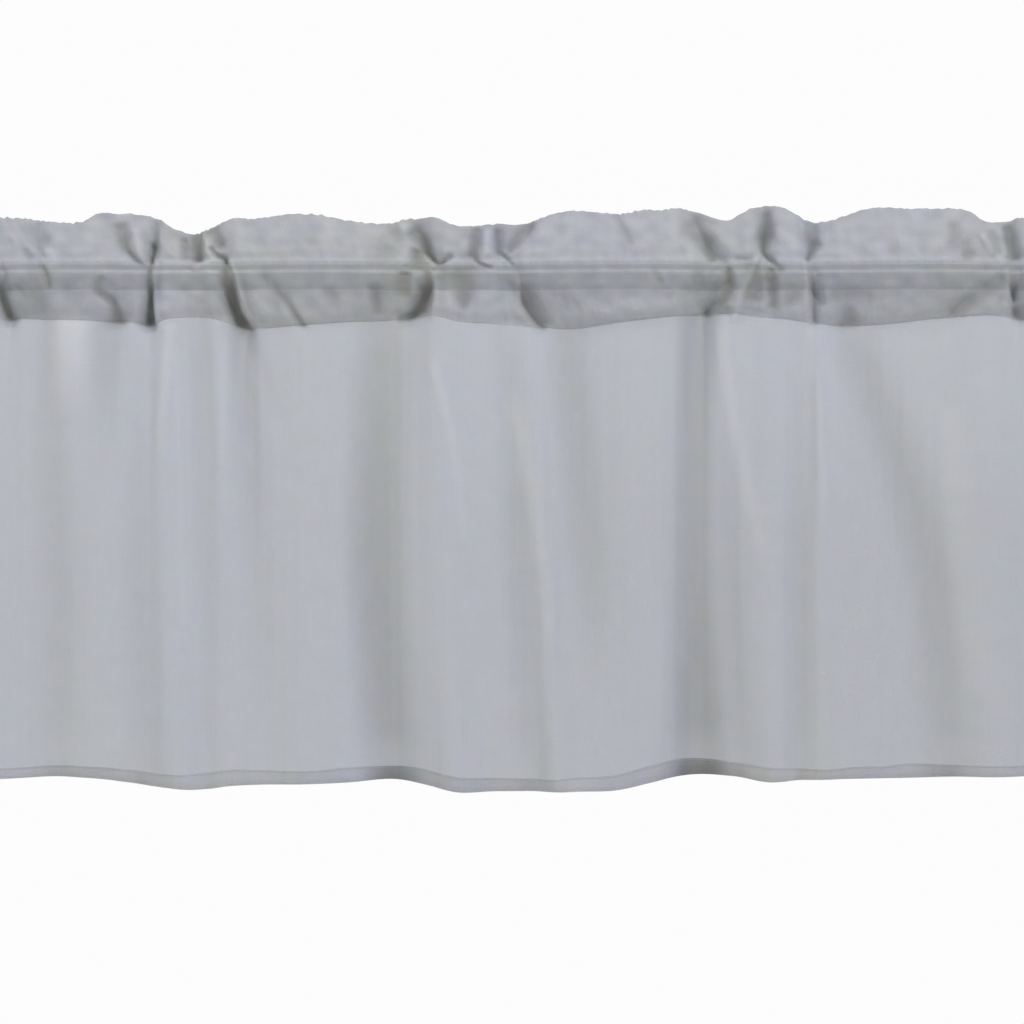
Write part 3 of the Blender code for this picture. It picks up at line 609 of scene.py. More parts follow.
# %% Front layer
DENT_SHARE, CRINKLE_SHARE = 0.7, 0.35
CRUMPLE_V = [0.0, 0.10, 0.85, 1.0, 1.12, 1.85, 2.0, 2.08, 3.0]
DENT_HIGH = [1.05, 1.25, 1.05, 0.30, 1.10, 1.40, 0.25, 0.10, 0.0]
STREAK_HIGH = [0.15, 0.15, 0.15, 0.10, 0.15, 0.15, 0.20, 0.32, 0.26]
STREAK_STRETCH = 0.1  # streaks are ten times as long as they would be
PUCKER_LENGTH, PUCKER_HIGH, PUCKER_REACH = 9.0, 0.45, 0.13
CLOTH_SHIFT = 0.5  # back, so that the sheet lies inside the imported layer
POCKET_ROWS = (1.02, 1.98)  # between which the front keeps clear of the rod
ROD_ROOM, POCKET_LIFT = 0.9, 0.3  # from the rod to the circle, and from that to the cloth


def clear_of_rod(z):
    """Distance that the pocket keeps from the rod's axis: a circle, then straight off at 45 degrees."""
    room = ROD_RADIUS + ROD_ROOM
    z = np.abs(z)
    around = np.sqrt(np.maximum(room**2 - z**2, 0.0))
    return np.where(z < room / np.sqrt(2), around, room * np.sqrt(2) - z)


def puckers(u, v):
    """Sine along the stitching, fading to both sides of the gather line like a bell."""
    wobble = u + 2.2 * np.sin(u / 17.0) + 1.3 * np.sin(u / 7.3 + 1.0)
    near_line = np.exp(-(((v - 1) / PUCKER_REACH) ** 2))
    return PUCKER_HIGH * np.sin(wobble * 2 * np.pi / PUCKER_LENGTH) * near_line


def front_layer(u, v):
    """Points (x, y, z) of the front at columns u and rows v, in millimetres, forward being -y."""
    u, v = np.broadcast_arrays(np.asarray(u, float), np.asarray(v, float))
    x = u + lean(u, v)
    z, seam = height(x, v)
    front, puff, pinch, fold = (eased(v, ROW_V, [row[k] for row in ROWS]) for k in (1, 2, 3, 4))
    forward = front + puffs(u) * puff + fold_relief(x, v) * fold - drawn_in(u, v, seam - z) * pinch
    ridge, trough = creased(x, z)
    forward = forward + ridge + trough + puckers(u, v)
    dents = DENT_SHARE * crumple(x, z, DENTS, 0.5) + CRINKLE_SHARE * crumple(x, z, CRINKLES, 0.6)
    forward = forward + np.interp(v, CRUMPLE_V, DENT_HIGH) * dents
    streaks = crumple(x, STREAK_STRETCH * z, STREAKS, 0.3)
    forward = forward + np.interp(v, CRUMPLE_V, STREAK_HIGH) * streaks
    in_pocket = (v > POCKET_ROWS[0]) & (v < POCKET_ROWS[1])
    least = clear_of_rod(z) + POCKET_LIFT + CLOTH_SHIFT
    forward = np.where(in_pocket, np.maximum(forward, least), forward)
    return np.stack([x, CLOTH_SHIFT - forward, z], -1)


# %% [markdown]
# ## One folded sheet
# The cloth is laid down in the order it runs: from the edge caught in the seam up the pocket's back
# wall, up the back of the header, over the top, down the front, round the hem and up its turned edge.
# The layers could be separate pieces, but then their edges would show as cuts, so they are rows of
# one grid. Each column of that grid is one strip of the cloth. The hem's depth changes along the
# cloth, so the rows beside it aren't level: they keep their distance from the hem's own top.

# %% Rows of the strip
HEADER_GAP = 1.0  # between the header's two layers
EXTRA_GAP, GAP_REACH = 0.7, 14.0  # more at both sides, where the side hem lies between them
DROP_LENGTH = float(np.mean([s.seam - s.hem for s in SECTIONS]))
header_v = np.linspace(0.02, 0.97, 17)
near_gather, over_rod = np.linspace(1.02, 1.22, 10), np.linspace(1.27, 1.95, 13)
pocket_v = np.concatenate([[1.0], near_gather, over_rod, [1.983, 1.99]])
drop_v = 2.0 + np.concatenate([[0.006, 0.018], np.linspace(0.07, 0.965, 23) ** 1.25 - 0.015])
back_v = np.concatenate([[1.985], np.linspace(1.94, 1.06, 13), [1.0]])
hem_up = np.array([0.05, 0.3, 0.6, 0.9, 1.0])  # in depths of the hem
ABOVE_HEM = 3.0  # the last row that isn't part of the hem
HEM_STEP = 0.6  # half the way over which one layer becomes two
LAST_ROW = 0.55  # above the fold at the bottom


def hem_depth(u):
    """Depth of the turned hem at column u, in millimetres."""
    return eased(u, [t.x for t in BOTTOM_HEM], [t.deep for t in BOTTOM_HEM])


def front_rows(u):
    """Rows of the front at columns u; the last five keep their places beside the hem's own top."""
    deep = hem_depth(u)
    step = [deep + HEM_STEP, deep - HEM_STEP]
    near_hem = np.stack([deep + ABOVE_HEM, *step, deep / 2, LAST_ROW + 0 * deep])
    upper = np.concatenate([header_v, pocket_v, drop_v])[:, None] + 0 * deep
    return np.concatenate([upper, 3.0 - near_hem / DROP_LENGTH])


def turned_rows(u):
    """Rows of the hem's turned-up edge at columns u, as if they were still on the front."""
    return 3.0 - hem_up[:, None] * hem_depth(u) / DROP_LENGTH


def in_hem(u, v):
    """1 inside the bottom hem, 0 above it, with 1.2 mm between."""
    above_edge = (3.0 - v) * DROP_LENGTH
    return np.clip((hem_depth(u) + HEM_STEP - above_edge) / (2 * HEM_STEP), 0.0, 1.0)


print("rows:", len(back_v) + len(header_v) + 1 + len(front_rows(np.zeros(1))) + 1 + len(hem_up))


# %% Strips of cloth
BACK_OUT = 0.6  # the sheet of the back wall lies this much further out than its table says
BACK_DENTS, WALLS_APART = 0.6, 2.0
OPENING = ([1.0, 1.06, 1.85, 1.985], [0.0, 1.0, 1.0, 0.0])  # of the pocket, by rows
CLOSED_SHARE = 0.6  # of the header's gap, between the walls where the pocket is stitched shut
HEAD_DENTS, LEAST_DENT = 0.35, -0.8
RAGGED, FRAYED, RAGGED_REACH = 0.9, 1.2, 0.06
TOP_RISE = 0.8
TURN_BACK, TURN_DOWN = 0.45, 0.6
TURNED_GAP, TURNED_EXTRA = 0.9, 0.6  # from the hem's front to its turned-up edge, and at the sides


def strips(u):
    """The whole folded strip for every column u, as an array of rows x columns x 3."""
    u = np.asarray(u, float)[None, :]
    at_side = np.clip((np.abs(u) - (CLOTH_WIDTH / 2 - GAP_REACH)) / 3.0, 0.0, 1.0)
    gap = HEADER_GAP + EXTRA_GAP * at_side
    front = front_layer(u, front_rows(u[0]))

    v = back_v[:, None] + 0 * u
    wall = front_layer(u, v)
    front_y, at = wall[..., 1], u + 0 * v
    depth = eased(v, BACK_V, BACK_DEPTH) + BACK_OUT
    depth += BACK_PUFF * puffs(at) - BACK_PINCH * drawn_in(at, v, 0 * v)
    depth += BACK_DENTS * crumple(wall[..., 0] + 40, wall[..., 2], DENTS, 0.3)
    off_rod = clear_of_rod(wall[..., 2]) + POCKET_LIFT
    depth = np.maximum(np.maximum(depth, off_rod), front_y + WALLS_APART)
    closed = front_y + CLOSED_SHARE * gap
    wall[..., 1] = closed + (depth - closed) * np.interp(v, *OPENING)

    head = front[: len(header_v)][::-1].copy()
    ease = np.sin(np.pi * np.clip(header_v[::-1], 0, 1))[:, None]
    dents = np.maximum(crumple(head[..., 0], head[..., 2] + 30, DENTS), LEAST_DENT)
    head[..., 1] += gap + HEAD_DENTS * ease * dents
    level = 0 * u[0]
    ragged = RAGGED * crumple(u[0], level, CRINKLES, 0.5) + FRAYED * crumple(u[0], level, FRAY, 0.7)
    near_top = np.exp(-header_v / RAGGED_REACH)[:, None]
    front[: len(header_v), :, 2] += near_top * ragged
    head[..., 2] += near_top[::-1] * ragged
    top = (front[:1] + head[-1:]) / 2
    top[..., 2] += TOP_RISE

    turn = front[-1:] + np.array([0.0, TURN_BACK, -TURN_DOWN])
    up = front_layer(u, turned_rows(u[0]))
    up[..., 1] += TURNED_GAP + TURNED_EXTRA * at_side
    return np.concatenate([wall, head, top, front, turn, up])


# %% [markdown]
# ## Columns
# Columns stand close together at the pinches and wider apart on the smooth puffs, so the faces go
# where the creases are. The spacing comes from adding up a density along the rod and cutting the
# total into equal parts. At both sides a narrow hem is folded to the wrong side: a few more columns
# that run back inwards, a little behind the cloth.

# %% Columns and side hems
COLUMNS = 424
SPARSE = 0.55
DEEP_PINCH = 8.0  # a pinch this deep gets the closest columns
CLOSE_REACH = 2.2  # in half widths of the pinch
INWARD = np.array([0.15, 2.0, 4.5, 7.5, SIDE_HEM])  # columns of a side hem, from its fold
LIFTED = np.array([0.25, 0.45, 0.45, 0.45, 0.45])  # how far behind the cloth each one lies


def column_places():
    """Cuts a density, 1 at every deep pinch and SPARSE elsewhere, into equal parts."""
    x = np.linspace(-CLOTH_WIDTH / 2, CLOTH_WIDTH / 2, 6000)
    density = np.full_like(x, SPARSE)
    for p in PINCHES:
        deep = min(1.0, max(p.header, p.pocket) / DEEP_PINCH)
        density += (1 - SPARSE) * deep * np.exp(-(((x - p.gather) / (CLOSE_REACH * p.width)) ** 2))
    total = np.concatenate([[0.0], np.cumsum((density[1:] + density[:-1]) / 2)])
    return np.interp(np.linspace(0, total[-1], COLUMNS), total, x)


def wrong_side(points):
    """Unit normals on the wrong side of a strip: across x along, by differences of neighbours."""
    down, across = np.gradient(points, axis=0), np.gradient(points, axis=1)
    normal = np.cross(across, down)
    return normal / np.linalg.norm(normal, axis=-1, keepdims=True)


def side_hem(side):
    """Columns from the fold inwards, lifted 0.45 mm to the wrong side, less at the fold itself."""
    points = strips(side * (CLOTH_WIDTH / 2 - INWARD))
    return points - side * wrong_side(points) * LIFTED[None, :, None]


u_line = column_places()
body = strips(u_line)
left, right = side_hem(-1), side_hem(1)
sheet = np.concatenate([left[:, ::-1], body, right], axis=1) * MM
print("sheet rows and columns:", sheet.shape[:2])


# %% [markdown]
# ## From grid to mesh
# A grid of points becomes a mesh with one quad in every cell. Cloth also needs its flat pattern: each
# point's place on the cut piece before it was hung, kept as a UV map in metres, on which the weave
# lies straight. Six more numbers ride on every point, all from 0 to 1 but the first and the last: how
# steeply the cloth runs back there, how much of it is bunched, how much painted shade it takes in a
# crease or pinch, how deep it lies in a fold's valley, how much painted light pales it where layers lie
# together, on the rod and on ridges, and which way it is turned. They could be painted, but worked out
# from the shape itself they stay true when the shape changes.

# %% Grid mesh
def grid_object(name, points, uv=None, **numbers):
    """Object whose mesh has a vertex for each grid point and a quad facing -y in every cell."""
    rows, columns = points.shape[:2]
    at = np.arange(rows * columns).reshape(rows, columns)
    quads = np.stack([at[:-1, :-1], at[1:, :-1], at[1:, 1:], at[:-1, 1:]], -1).reshape(-1, 4)
    mesh = bpy.data.meshes.new(name)
    mesh.from_pydata(points.reshape(-1, 3).tolist(), [], quads.tolist())
    if uv is not None:
        layer = mesh.uv_layers.new(name="flat")
        layer.uv.foreach_set("vector", uv.reshape(-1, 2)[quads.ravel()].astype(np.float32).ravel())
    for key, values in numbers.items():
        field = mesh.attributes.new(key, "FLOAT", "POINT")
        field.data.foreach_set("value", values.astype(np.float32).ravel())
    mesh.shade_smooth()
    thing = bpy.data.objects.new(name, mesh)
    bpy.context.scene.collection.objects.link(thing)
    return thing


# %% Flat pattern, bunching and creases
FLAT_WIDTH, FLAT_LENGTH = 1.07, 0.57
SIDE_STEP = SIDE_HEM / len(INWARD)
along = np.linalg.norm(np.diff(sheet, axis=0), axis=-1).mean(axis=1)
flat_v = np.concatenate([[0.0], np.cumsum(along)])
beside = np.arange(1, len(INWARD) + 1) * SIDE_STEP
u_all = np.concatenate([u_line[0] - beside[::-1], u_line, u_line[-1] + beside])
flat_u = u_all * FLAT_WIDTH / CLOTH_WIDTH
flat = np.stack(np.broadcast_arrays(flat_u[None, :], flat_v[:, None]), -1)


def smoothed(values, passes):
    """Each pass makes a value the mean of itself, counted twice, and its four neighbours."""
    for _ in range(passes):
        padded = np.pad(values, 1, mode="edge")
        above_below = padded[:-2, 1:-1] + padded[2:, 1:-1]
        values = (values * 2 + above_below + padded[1:-1, :-2] + padded[1:-1, 2:]) / 6
    return values


def below_seam(v):
    """0 in the pocket and 1 in the drop, rising over a sixth of a row about the seam."""
    return np.clip((v - 1.9) * 6, 0.0, 1.0)


DEEP_VALLEY = 11.0  # millimetres back that count as a full valley
LEAST_FACING, MOST_STEEP = 0.25, 2.0


def hollow_at(u, v):
    """How deep a fold's valley is: its depth over 11 mm, at most 1, and only in the drop."""
    return np.clip(-fold_relief(u + lean(u, v), v) / DEEP_VALLEY, 0.0, 1.0) * below_seam(v)


facing = np.abs(wrong_side(sheet)[..., 1])
steep = smoothed(np.clip(1.0 / np.maximum(facing, LEAST_FACING) - 1.0, 0.0, MOST_STEEP), 1)
print("steepness: mean %.3f, most %.2f" % (steep.mean(), steep.max()))

# %% How much cloth is packed at a column, and the painted shade of its creases and pinches
PACKED_SPANS = [p for p in PINCHES if p.puff is not None]
TIGHT_PUFF, PUFF_RANGE = 4.0, 5.0  # the puff that counts as 0, and how much more counts as 1
SPAN_EASE = 12.0
# Painted shade in creases and pinches: the depths that count as full shade, and how it fades
SHADED_TROUGH, SHADED_PINCH, PINCH_CORE = 6.0, 40.0, 0.75
SHADE_FADE = 6.0  # millimetres below the seam over which the crushing of a pinch fades
DROP_SHARE, SEAM_END, SEAM_FADE = 0.15, 2.005, 80  # what the drop keeps, the row, and how steeply
HEM_UNDER_FOLD = 0.34


def packed(u):
    """0 where the cloth is drawn tight on the rod, 1 where it puffs 9 mm, eased over 12 mm."""
    out = np.zeros_like(u)
    for a, b in zip(PACKED_SPANS, PACKED_SPANS[1:]):
        full = np.clip((a.puff - TIGHT_PUFF) / PUFF_RANGE, 0.0, 1.0)
        from_left = np.clip((u - a.gather) / SPAN_EASE + 0.5, 0, 1)
        out += full * from_left * np.clip((b.gather - u) / SPAN_EASE + 0.5, 0, 1)
    return np.clip(out, 0.0, 1.0)


def crease_shade_at(u, v):
    """Painted shade of creases and pinches: a trough's depth over 6 mm plus a pinch's over 40 mm, at
    most 1; in the hem, at least about a third of the squared depth of the valley above it."""
    out = np.zeros_like(u * v)
    fade = np.exp(-np.maximum(v - 2.0, 0) * DROP_LENGTH / SHADE_FADE)
    for p in PINCHES:
        depth = np.where(v < 1.0, p.header, p.pocket) * fade
        out = out + depth / SHADED_PINCH * np.exp(-(((u - p.gather) / (PINCH_CORE * p.width)) ** 2))
    x = u + lean(u, v)
    _, trough = creased(x, height(x, v)[0])
    in_heading = np.clip((SEAM_END - v) * SEAM_FADE, DROP_SHARE, 1.0)
    # painted shade in the hem under the fold valleys above it
    under_fold = in_hem(u, v) * HEM_UNDER_FOLD * hollow_at(u, v) ** 2
    return np.maximum(np.clip(out - trough / SHADED_TROUGH, 0.0, 1.0) * in_heading, under_fold)


# %% How much painted light pales the layers, and which way the drop is turned
# Painted light by row for puffed and tight spans, and painted highlight lines by height on the rod
PAINTED_LIGHT_ROWS = [0.0, 0.5, 0.9, 1.0, 1.50, 1.53, 1.70, 1.984, 1.99]
PAINTED_LIGHT_PUFFED = [0.72, 0.76, 0.90, 0.87, 0.50, 0.56, 0.84, 1.0, 0.0]
PAINTED_LIGHT_TIGHT = [0.50, 0.58, 0.65, 0.85, 0.50, 0.66, 0.76, 0.85, 0.0]
ROD_HEIGHTS = [-11.6, -10.4, 2.4, 3.4, 5.2, 6.6, 9.6, 11.0]
PAINTED_HIGHLIGHT_ON_ROD = [0.52, 0.26, 0.26, 0.72, 0.74, 0.20, 0.24, 0.82]
UNEVEN_ROWS, UNEVEN = [0.9, 1.0, 1.5, 1.95, 2.0], [0.26, 0.10, 0.24, 0.24, 0.0]
# Painted highlight on ridges:
RIDGE_HIGHLIGHT = 0.16  # for each millimetre that a ridge stands forward
TURNED_SLOPE = 0.5  # the slope that counts as turned all the way


def painted_light_at(u, v):
    """Painted light, how much paler the layers are painted where they lie together: painted highlight
    lines by height where the cloth lies on the rod, else by row, mixed from two tables by how far the
    cloth puffs; dents vary it, and ridges get a painted highlight. The hem has its own table."""
    puffed, tight = (np.interp(v, PAINTED_LIGHT_ROWS, part) for part in (PAINTED_LIGHT_PUFFED, PAINTED_LIGHT_TIGHT))
    x, z = u + lean(u, v), front_layer(u, v)[..., 2]
    at_rod = (v > 1.0) & (v < 1.9) & (z > ROD_HEIGHTS[0])
    # painted highlight lines by height where the cloth lies on the rod
    on_rod = np.interp(z, ROD_HEIGHTS, PAINTED_HIGHLIGHT_ON_ROD)
    pale_share = np.where(at_rod, on_rod, tight + (puffed - tight) * packed(u))
    pale_share = pale_share + np.interp(v, UNEVEN_ROWS, UNEVEN) * crumple(x, z, DENTS, 0.3)
    # painted light in the hem, from its own table, and a painted highlight on ridges
    hem = in_hem(u, v) * eased(u, [t.x for t in BOTTOM_HEM], [t.pressed for t in BOTTOM_HEM])
    return np.clip(np.maximum(pale_share + RIDGE_HIGHLIGHT * creased(x, z)[0], hem), 0.0, 1.0)


def turned_at(u, v):
    """Slope of the drop's folds along the rod over 0.5, which is 1 where the cloth faces well left."""
    x = u + lean(u, v)
    slope = (fold_relief(x + 1.0, v) - fold_relief(x - 1.0, v)) / 2.0
    return np.clip(slope / TURNED_SLOPE, -1.0, 1.0) * below_seam(v)


# %% Six measures at every point of the sheet
FULL_ROWS, FULL_SHARE = [0.0, 0.9, 1.0, 1.95, 2.0, 3.0], [0.3, 0.4, 1.0, 1.0, 0.0, 0.0]
# the valley depth feeds painted shade; less of it just above the hem
VALLEY_ROWS, VALLEY_SHARE = [2.90, 2.94, 2.965, 2.98], [1.0, 0.6, 0.6, 1.0]  # lighter above the hem
FLAT_BY_EDGE = 2.0  # millimetres above the bottom edge in which the steepness fades out
v_behind = np.concatenate([back_v, header_v[::-1], [0.0]])[:, None] + 0 * u_all
v_turn = 3.0 + 0 * u_all[None, :]
v_full = np.concatenate([v_behind, front_rows(u_all), v_turn, turned_rows(u_all)])
u_full = u_all[None, :] + 0 * v_full
measures = {
    "steep": steep * np.clip((3.0 - v_full) * DROP_LENGTH / FLAT_BY_EDGE, 0.0, 1.0),
    "fullness": packed(u_full) * np.interp(v_full, FULL_ROWS, FULL_SHARE),
    # painted shade in creases and pinches
    "crease_shade": crease_shade_at(u_full, v_full),
    "hollow": hollow_at(u_full, v_full) * np.interp(v_full, VALLEY_ROWS, VALLEY_SHARE),
    # painted light where layers lie together, on the rod and on ridges
    "pressed": painted_light_at(u_full, v_full),
    "turned": turned_at(u_full, v_full),
}
for name, values in measures.items():
    print("%-8s from %5.2f to %4.2f" % (name, values.min(), values.max()))

# %% The cloth object
SHEET_THICKNESS = 0.3
cloth = grid_object("voile_valance", sheet, flat, **measures)
thick = cloth.modifiers.new("thickness", "SOLIDIFY")
thick.thickness = SHEET_THICKNESS * MM
thick.offset = 0.0
print("cloth quads before its thickness:", len(cloth.data.polygons))


# %% [markdown]
# ## Stitching
# Three rows of lockstitches hold the valance together: the gather line, the pocket's seam and the
# hem. Each stitch is a short length of thread that rises out of the cloth and dips back in. They
# could be painted, but modelled thread catches the light. All stitches are worked out at once, as
# an array of little tubes. The hem's stitches keep to nine tenths of its depth, so their line wanders
# with it.

# %% Thread
STITCH_LENGTH, STITCH_PITCH, THREAD_RADIUS = 2.1, 2.8, 0.16
SIDES = 6
ALONG = np.array([-1.0, -0.8, 0.0, 0.8, 1.0])  # where a stitch has rings, in half lengths
RING_RADIUS = THREAD_RADIUS * np.array([0.45, 0.9, 1.0, 0.9, 0.45])
STITCH_RISE, RISE_POWER = 0.22, 0.6
STITCH_COUNT = int(CLOTH_WIDTH / STITCH_PITCH) - 2
stitch_at = (np.arange(STITCH_COUNT)[:, None] - (STITCH_COUNT - 1) / 2) * STITCH_PITCH


def stitches(v_line, lift, side):
    """Tubes on the front at row v: centre lifted along y by a cosine ^ 0.6, thinner at the ends."""
    path = front_layer(stitch_at + ALONG * STITCH_LENGTH / 2, v_line)
    rise = np.cos(ALONG * np.pi / 2) ** RISE_POWER
    path[..., 1] += side * (lift + STITCH_RISE * rise)
    turn = np.arange(SIDES) * 2 * np.pi / SIDES
    ring = np.stack([0 * turn, np.cos(turn), np.sin(turn)], -1)
    return path[:, :, None, :] + RING_RADIUS[None, :, None, None] * ring[None, None]


def tube_faces(count, rings, sides):
    """Quads between neighbouring rings of every tube, and one cap at each end."""
    at = np.arange(count * rings * sides).reshape(count, rings, sides)
    nxt = np.roll(at, -1, axis=2)
    quads = np.stack([at[:, :-1], nxt[:, :-1], nxt[:, 1:], at[:, 1:]], -1).reshape(-1, 4)
    caps = np.concatenate([at[:, 0, ::-1], at[:, -1]])
    return quads.tolist() + caps.tolist()


FRONT, BACK = -1, 1
ON_CLOTH = 0.1  # how far the front's stitches lie above the sheet's middle
GATHER_LINE, SEAM_LINE = 1.0, 1.975
hem_line = 3.0 - 0.9 * hem_depth(stitch_at) / DROP_LENGTH
lines = (GATHER_LINE, SEAM_LINE, hem_line)
behind = (0.8 + HEADER_GAP * 0.6, 0.8, 1.0)  # how far the back's stitches lie behind the front layer
rows_of_thread = [stitches(line, ON_CLOTH, FRONT) for line in lines]
rows_of_thread += [stitches(line, lift, BACK) for line, lift in zip(lines, behind)]
thread_points = np.concatenate(rows_of_thread) * MM
thread_mesh = bpy.data.meshes.new("valance_stitching")
thread_faces = tube_faces(*thread_points.shape[:3])
thread_mesh.from_pydata(thread_points.reshape(-1, 3).tolist(), [], thread_faces)
thread_mesh.shade_smooth()
stitching = bpy.data.objects.new("valance_stitching", thread_mesh)
bpy.context.scene.collection.objects.link(stitching)
print("stitches:", len(thread_points))


# %% [markdown]
# ## Writing shaders as sums
# A material's maths reads best as plain expressions. This small class wraps a socket, and + - * on it
# add the Math nodes, whichever side the plain number is on. The second class makes a material and
# gives one way to add any other node: its type, its settings, then its sockets' values or links.
# Short methods name the nodes that are used more than once.

# %% Shader helpers
class Value:
    """A number in a shader that Python's operators work on."""

    def __init__(self, tree, socket):
        """Keeps the node tree and the output socket that the number comes from."""
        self.tree, self.socket = tree, socket

    def math(self, operation, first, second):
        """The result of one Math node: the operation on the first and second number."""
        node = self.tree.nodes.new("ShaderNodeMath")
        node.operation = operation
        connect(self.tree, node.inputs[0], first)
        connect(self.tree, node.inputs[1], second)
        return Value(self.tree, node.outputs[0])

    def __add__(self, other):
        """self + other"""
        return self.math("ADD", self, other)

    def __sub__(self, other):
        """self - other"""
        return self.math("SUBTRACT", self, other)

    def __mul__(self, other):
        """self * other"""
        return self.math("MULTIPLY", self, other)

    def __rsub__(self, other):
        """other - self, where other is a plain number"""
        return self.math("SUBTRACT", other, self)

    __radd__ = __add__
    __rmul__ = __mul__

    def at_least(self, low):
        """The larger of the number and low."""
        return self.math("MAXIMUM", self, low)

    def at_most(self, high):
        """The smaller of the number and high."""
        return self.math("MINIMUM", self, high)

    def absolute(self):
        """The number without its sign."""
        return self.math("ABSOLUTE", self, 0.0)


def connect(tree, socket, value):
    """Links a Value or socket, or sets a plain value."""
    if isinstance(value, Value):
        tree.links.new(value.socket, socket)
    elif isinstance(value, bpy.types.NodeSocket):
        tree.links.new(value, socket)
    else:
        socket.default_value = value


class Finish:
    """A material with its Principled shader, and one method that adds any other node."""

    def __init__(self, name, **constants):
        """Makes the material and sets plain values on its Principled shader."""
        self.material = bpy.data.materials.new(name)
        self.material.use_nodes = True
        self.tree = self.material.node_tree
        self.shader = self.tree.nodes["Principled BSDF"]
        self.set(**constants)

    def set(self, **sockets):
        """Sets or links sockets of the Principled shader; an underscore stands for a space."""
        for name, value in sockets.items():
            connect(self.tree, self.shader.inputs[name.replace("_", " ")], value)

    def node(self, kind, settings=None, inputs=None, output=0):
        """Any other node: its type, its settings, its sockets, and the output that is wanted."""
        node = self.tree.nodes.new("ShaderNode" + kind)
        for key, value in (settings or {}).items():
            setattr(node, key, value)
        for key, value in (inputs or {}).items():
            connect(self.tree, node.inputs[key], value)
        return Value(self.tree, node.outputs[output])

    def mix(self, share, first, second):
        """The first colour times one minus the share, plus the second times the share."""
        return self.node("Mix", {"data_type": "RGBA"}, {0: share, 6: first, 7: second}, 2)

    def vector(self, operation, *inputs):
        """The result of one Vector Math node, on colours as on vectors."""
        return self.node("VectorMath", {"operation": operation}, dict(enumerate(inputs)))

    def ramp(self, value, start, end, first, last, kind="SMOOTHSTEP"):
        """The first value up to the start, the last from the end on, and a smooth way between."""
        inputs = {0: value, 1: start, 2: end, 3: first, 4: last}
        return self.node("MapRange", {"interpolation_type": kind}, inputs)

    def noise(self, vector, scale, detail=2.0, rough=0.5, output=0):
        """Smooth noise, about one lump in 1 over the scale; output 1 gives it in three channels."""
        inputs = {"Vector": vector, "Scale": scale, "Detail": detail, "Roughness": rough}
        return self.node("TexNoise", {}, inputs, output)

    def waves(self, vector, direction, scale, distortion, detail_scale=1.0):
        """Parallel waves across one direction, made wavy by the distortion."""
        inputs = {"Vector": vector, "Scale": scale}
        inputs |= {"Distortion": distortion, "Detail Scale": detail_scale}
        return self.node("TexWave", {"bands_direction": direction}, inputs)

    def place(self):
        """The point's own place on the object, in metres."""
        return self.node("TexCoord", {}, None, 3)

    def stretched(self, vector, scale):
        """The vector times a scale of its own in each direction."""
        return self.node("Mapping", {}, {"Vector": vector, "Scale": scale})

    def bump(self, height, distance, strength=1.0):
        """The normal of a surface that stands out by the height times the distance."""
        inputs = {"Height": height, "Distance": distance, "Strength": strength}
        return self.node("Bump", {}, inputs)


# %% [markdown]
# ## Voile
# Voile is a plain weave of fine crisp yarn with open gaps, so it is partly seen through. The closed
# sheet has two faces for each layer, and each face covers about half, so a layer lets about a quarter
# of the light by. Layers on top of each other look darker, so the header, pocket and hem stand out
# from the drop; the painted light and painted shade in the colour change them further. Where cloth is
# bunched or runs steeply back, more thread lies in the way, and as part of their painted shade creases
# and fold valleys get more cover too. A glass-like transmission would bend the light, which cloth with
# gaps doesn't, so the alpha is used.

# %% Voile cover
WEAVE_SCALE = 100.0  # of the wave texture: a wave every 3 mm, coarse enough to be seen at all
COVER, MOST_COVER = 0.49, 0.97
voile = Finish("voile_weave", Specular_IOR_Level=0.25, Sheen_Weight=0.12, Sheen_Roughness=0.4)
flat_map = voile.node("UVMap", {"uv_map": "flat"})
# the measures include the painted shade of creases and the painted light of layers
steep_in, full_in, crease_shade_in, hollow_in, painted_light_in, turned_in = (
    voile.node("Attribute", {"attribute_name": name}, None, 2) for name in measures
)
up = voile.node("SeparateXYZ", {}, {0: voile.place()}, 2)
across = voile.node("SeparateXYZ", {}, {0: flat_map}, 0)

warp = voile.waves(flat_map, "X", WEAVE_SCALE, 0.6, 0.3)
weft = voile.waves(flat_map, "Y", WEAVE_SCALE, 0.6, 0.3)
weave = (warp + weft) * 0.5
slub_warp = voile.noise(voile.stretched(flat_map, (1500.0, 22.0, 1.0)), 1.0)
slub_weft = voile.noise(voile.stretched(flat_map, (30.0, 1700.0, 1.0)), 1.0)
cloudy = voile.noise(flat_map, 60.0, 3.0)
yarn = slub_warp * 0.6 + slub_weft * 0.4

cover = COVER + (weave - 0.5) * 0.012 + (yarn - 0.5) * 0.03 + (cloudy - 0.5) * 0.06
# more cover in creases and fold valleys is part of their painted shade
cover = cover + steep_in * 0.20 + full_in * 0.04 + crease_shade_in * 0.24 + hollow_in * 0.08
voile.set(Alpha=cover.at_most(MOST_COVER))
print("voile nodes for its cover:", len(voile.tree.nodes))

# %% [markdown]
# ## The colour of the yarn
# The yarn is a cool grey. Painted light makes it paler where two layers lie together, and painted
# highlights draw fine lines where the cloth rests on the rod and pale the lips of ridges. Painted
# shade makes it darker and warmer in fold valleys, puffed spans, creases and pinches. Small patches
# and broad stretches differ a little in hue at random, and the doubled cloth is more neutral. A painted
# shade turns the drop greener where it faces away from the key lamp and in its valleys, and a painted
# tint of the rod seen through the cloth warms the band over it. A painted shade makes the drop darker
# downwards, most at the right. Lamps could make some of this, but they stay where they are when the
# piece is turned. The measures, the flat map and the piece's own coordinates turn with it, so the
# colour hangs on those.

# %% Voile colour
# Depth below the rod's axis and width of its painted highlight line
ROD_HIGHLIGHT_DEPTH, HIGHLIGHT_WIDTH = 0.0116, 0.0014
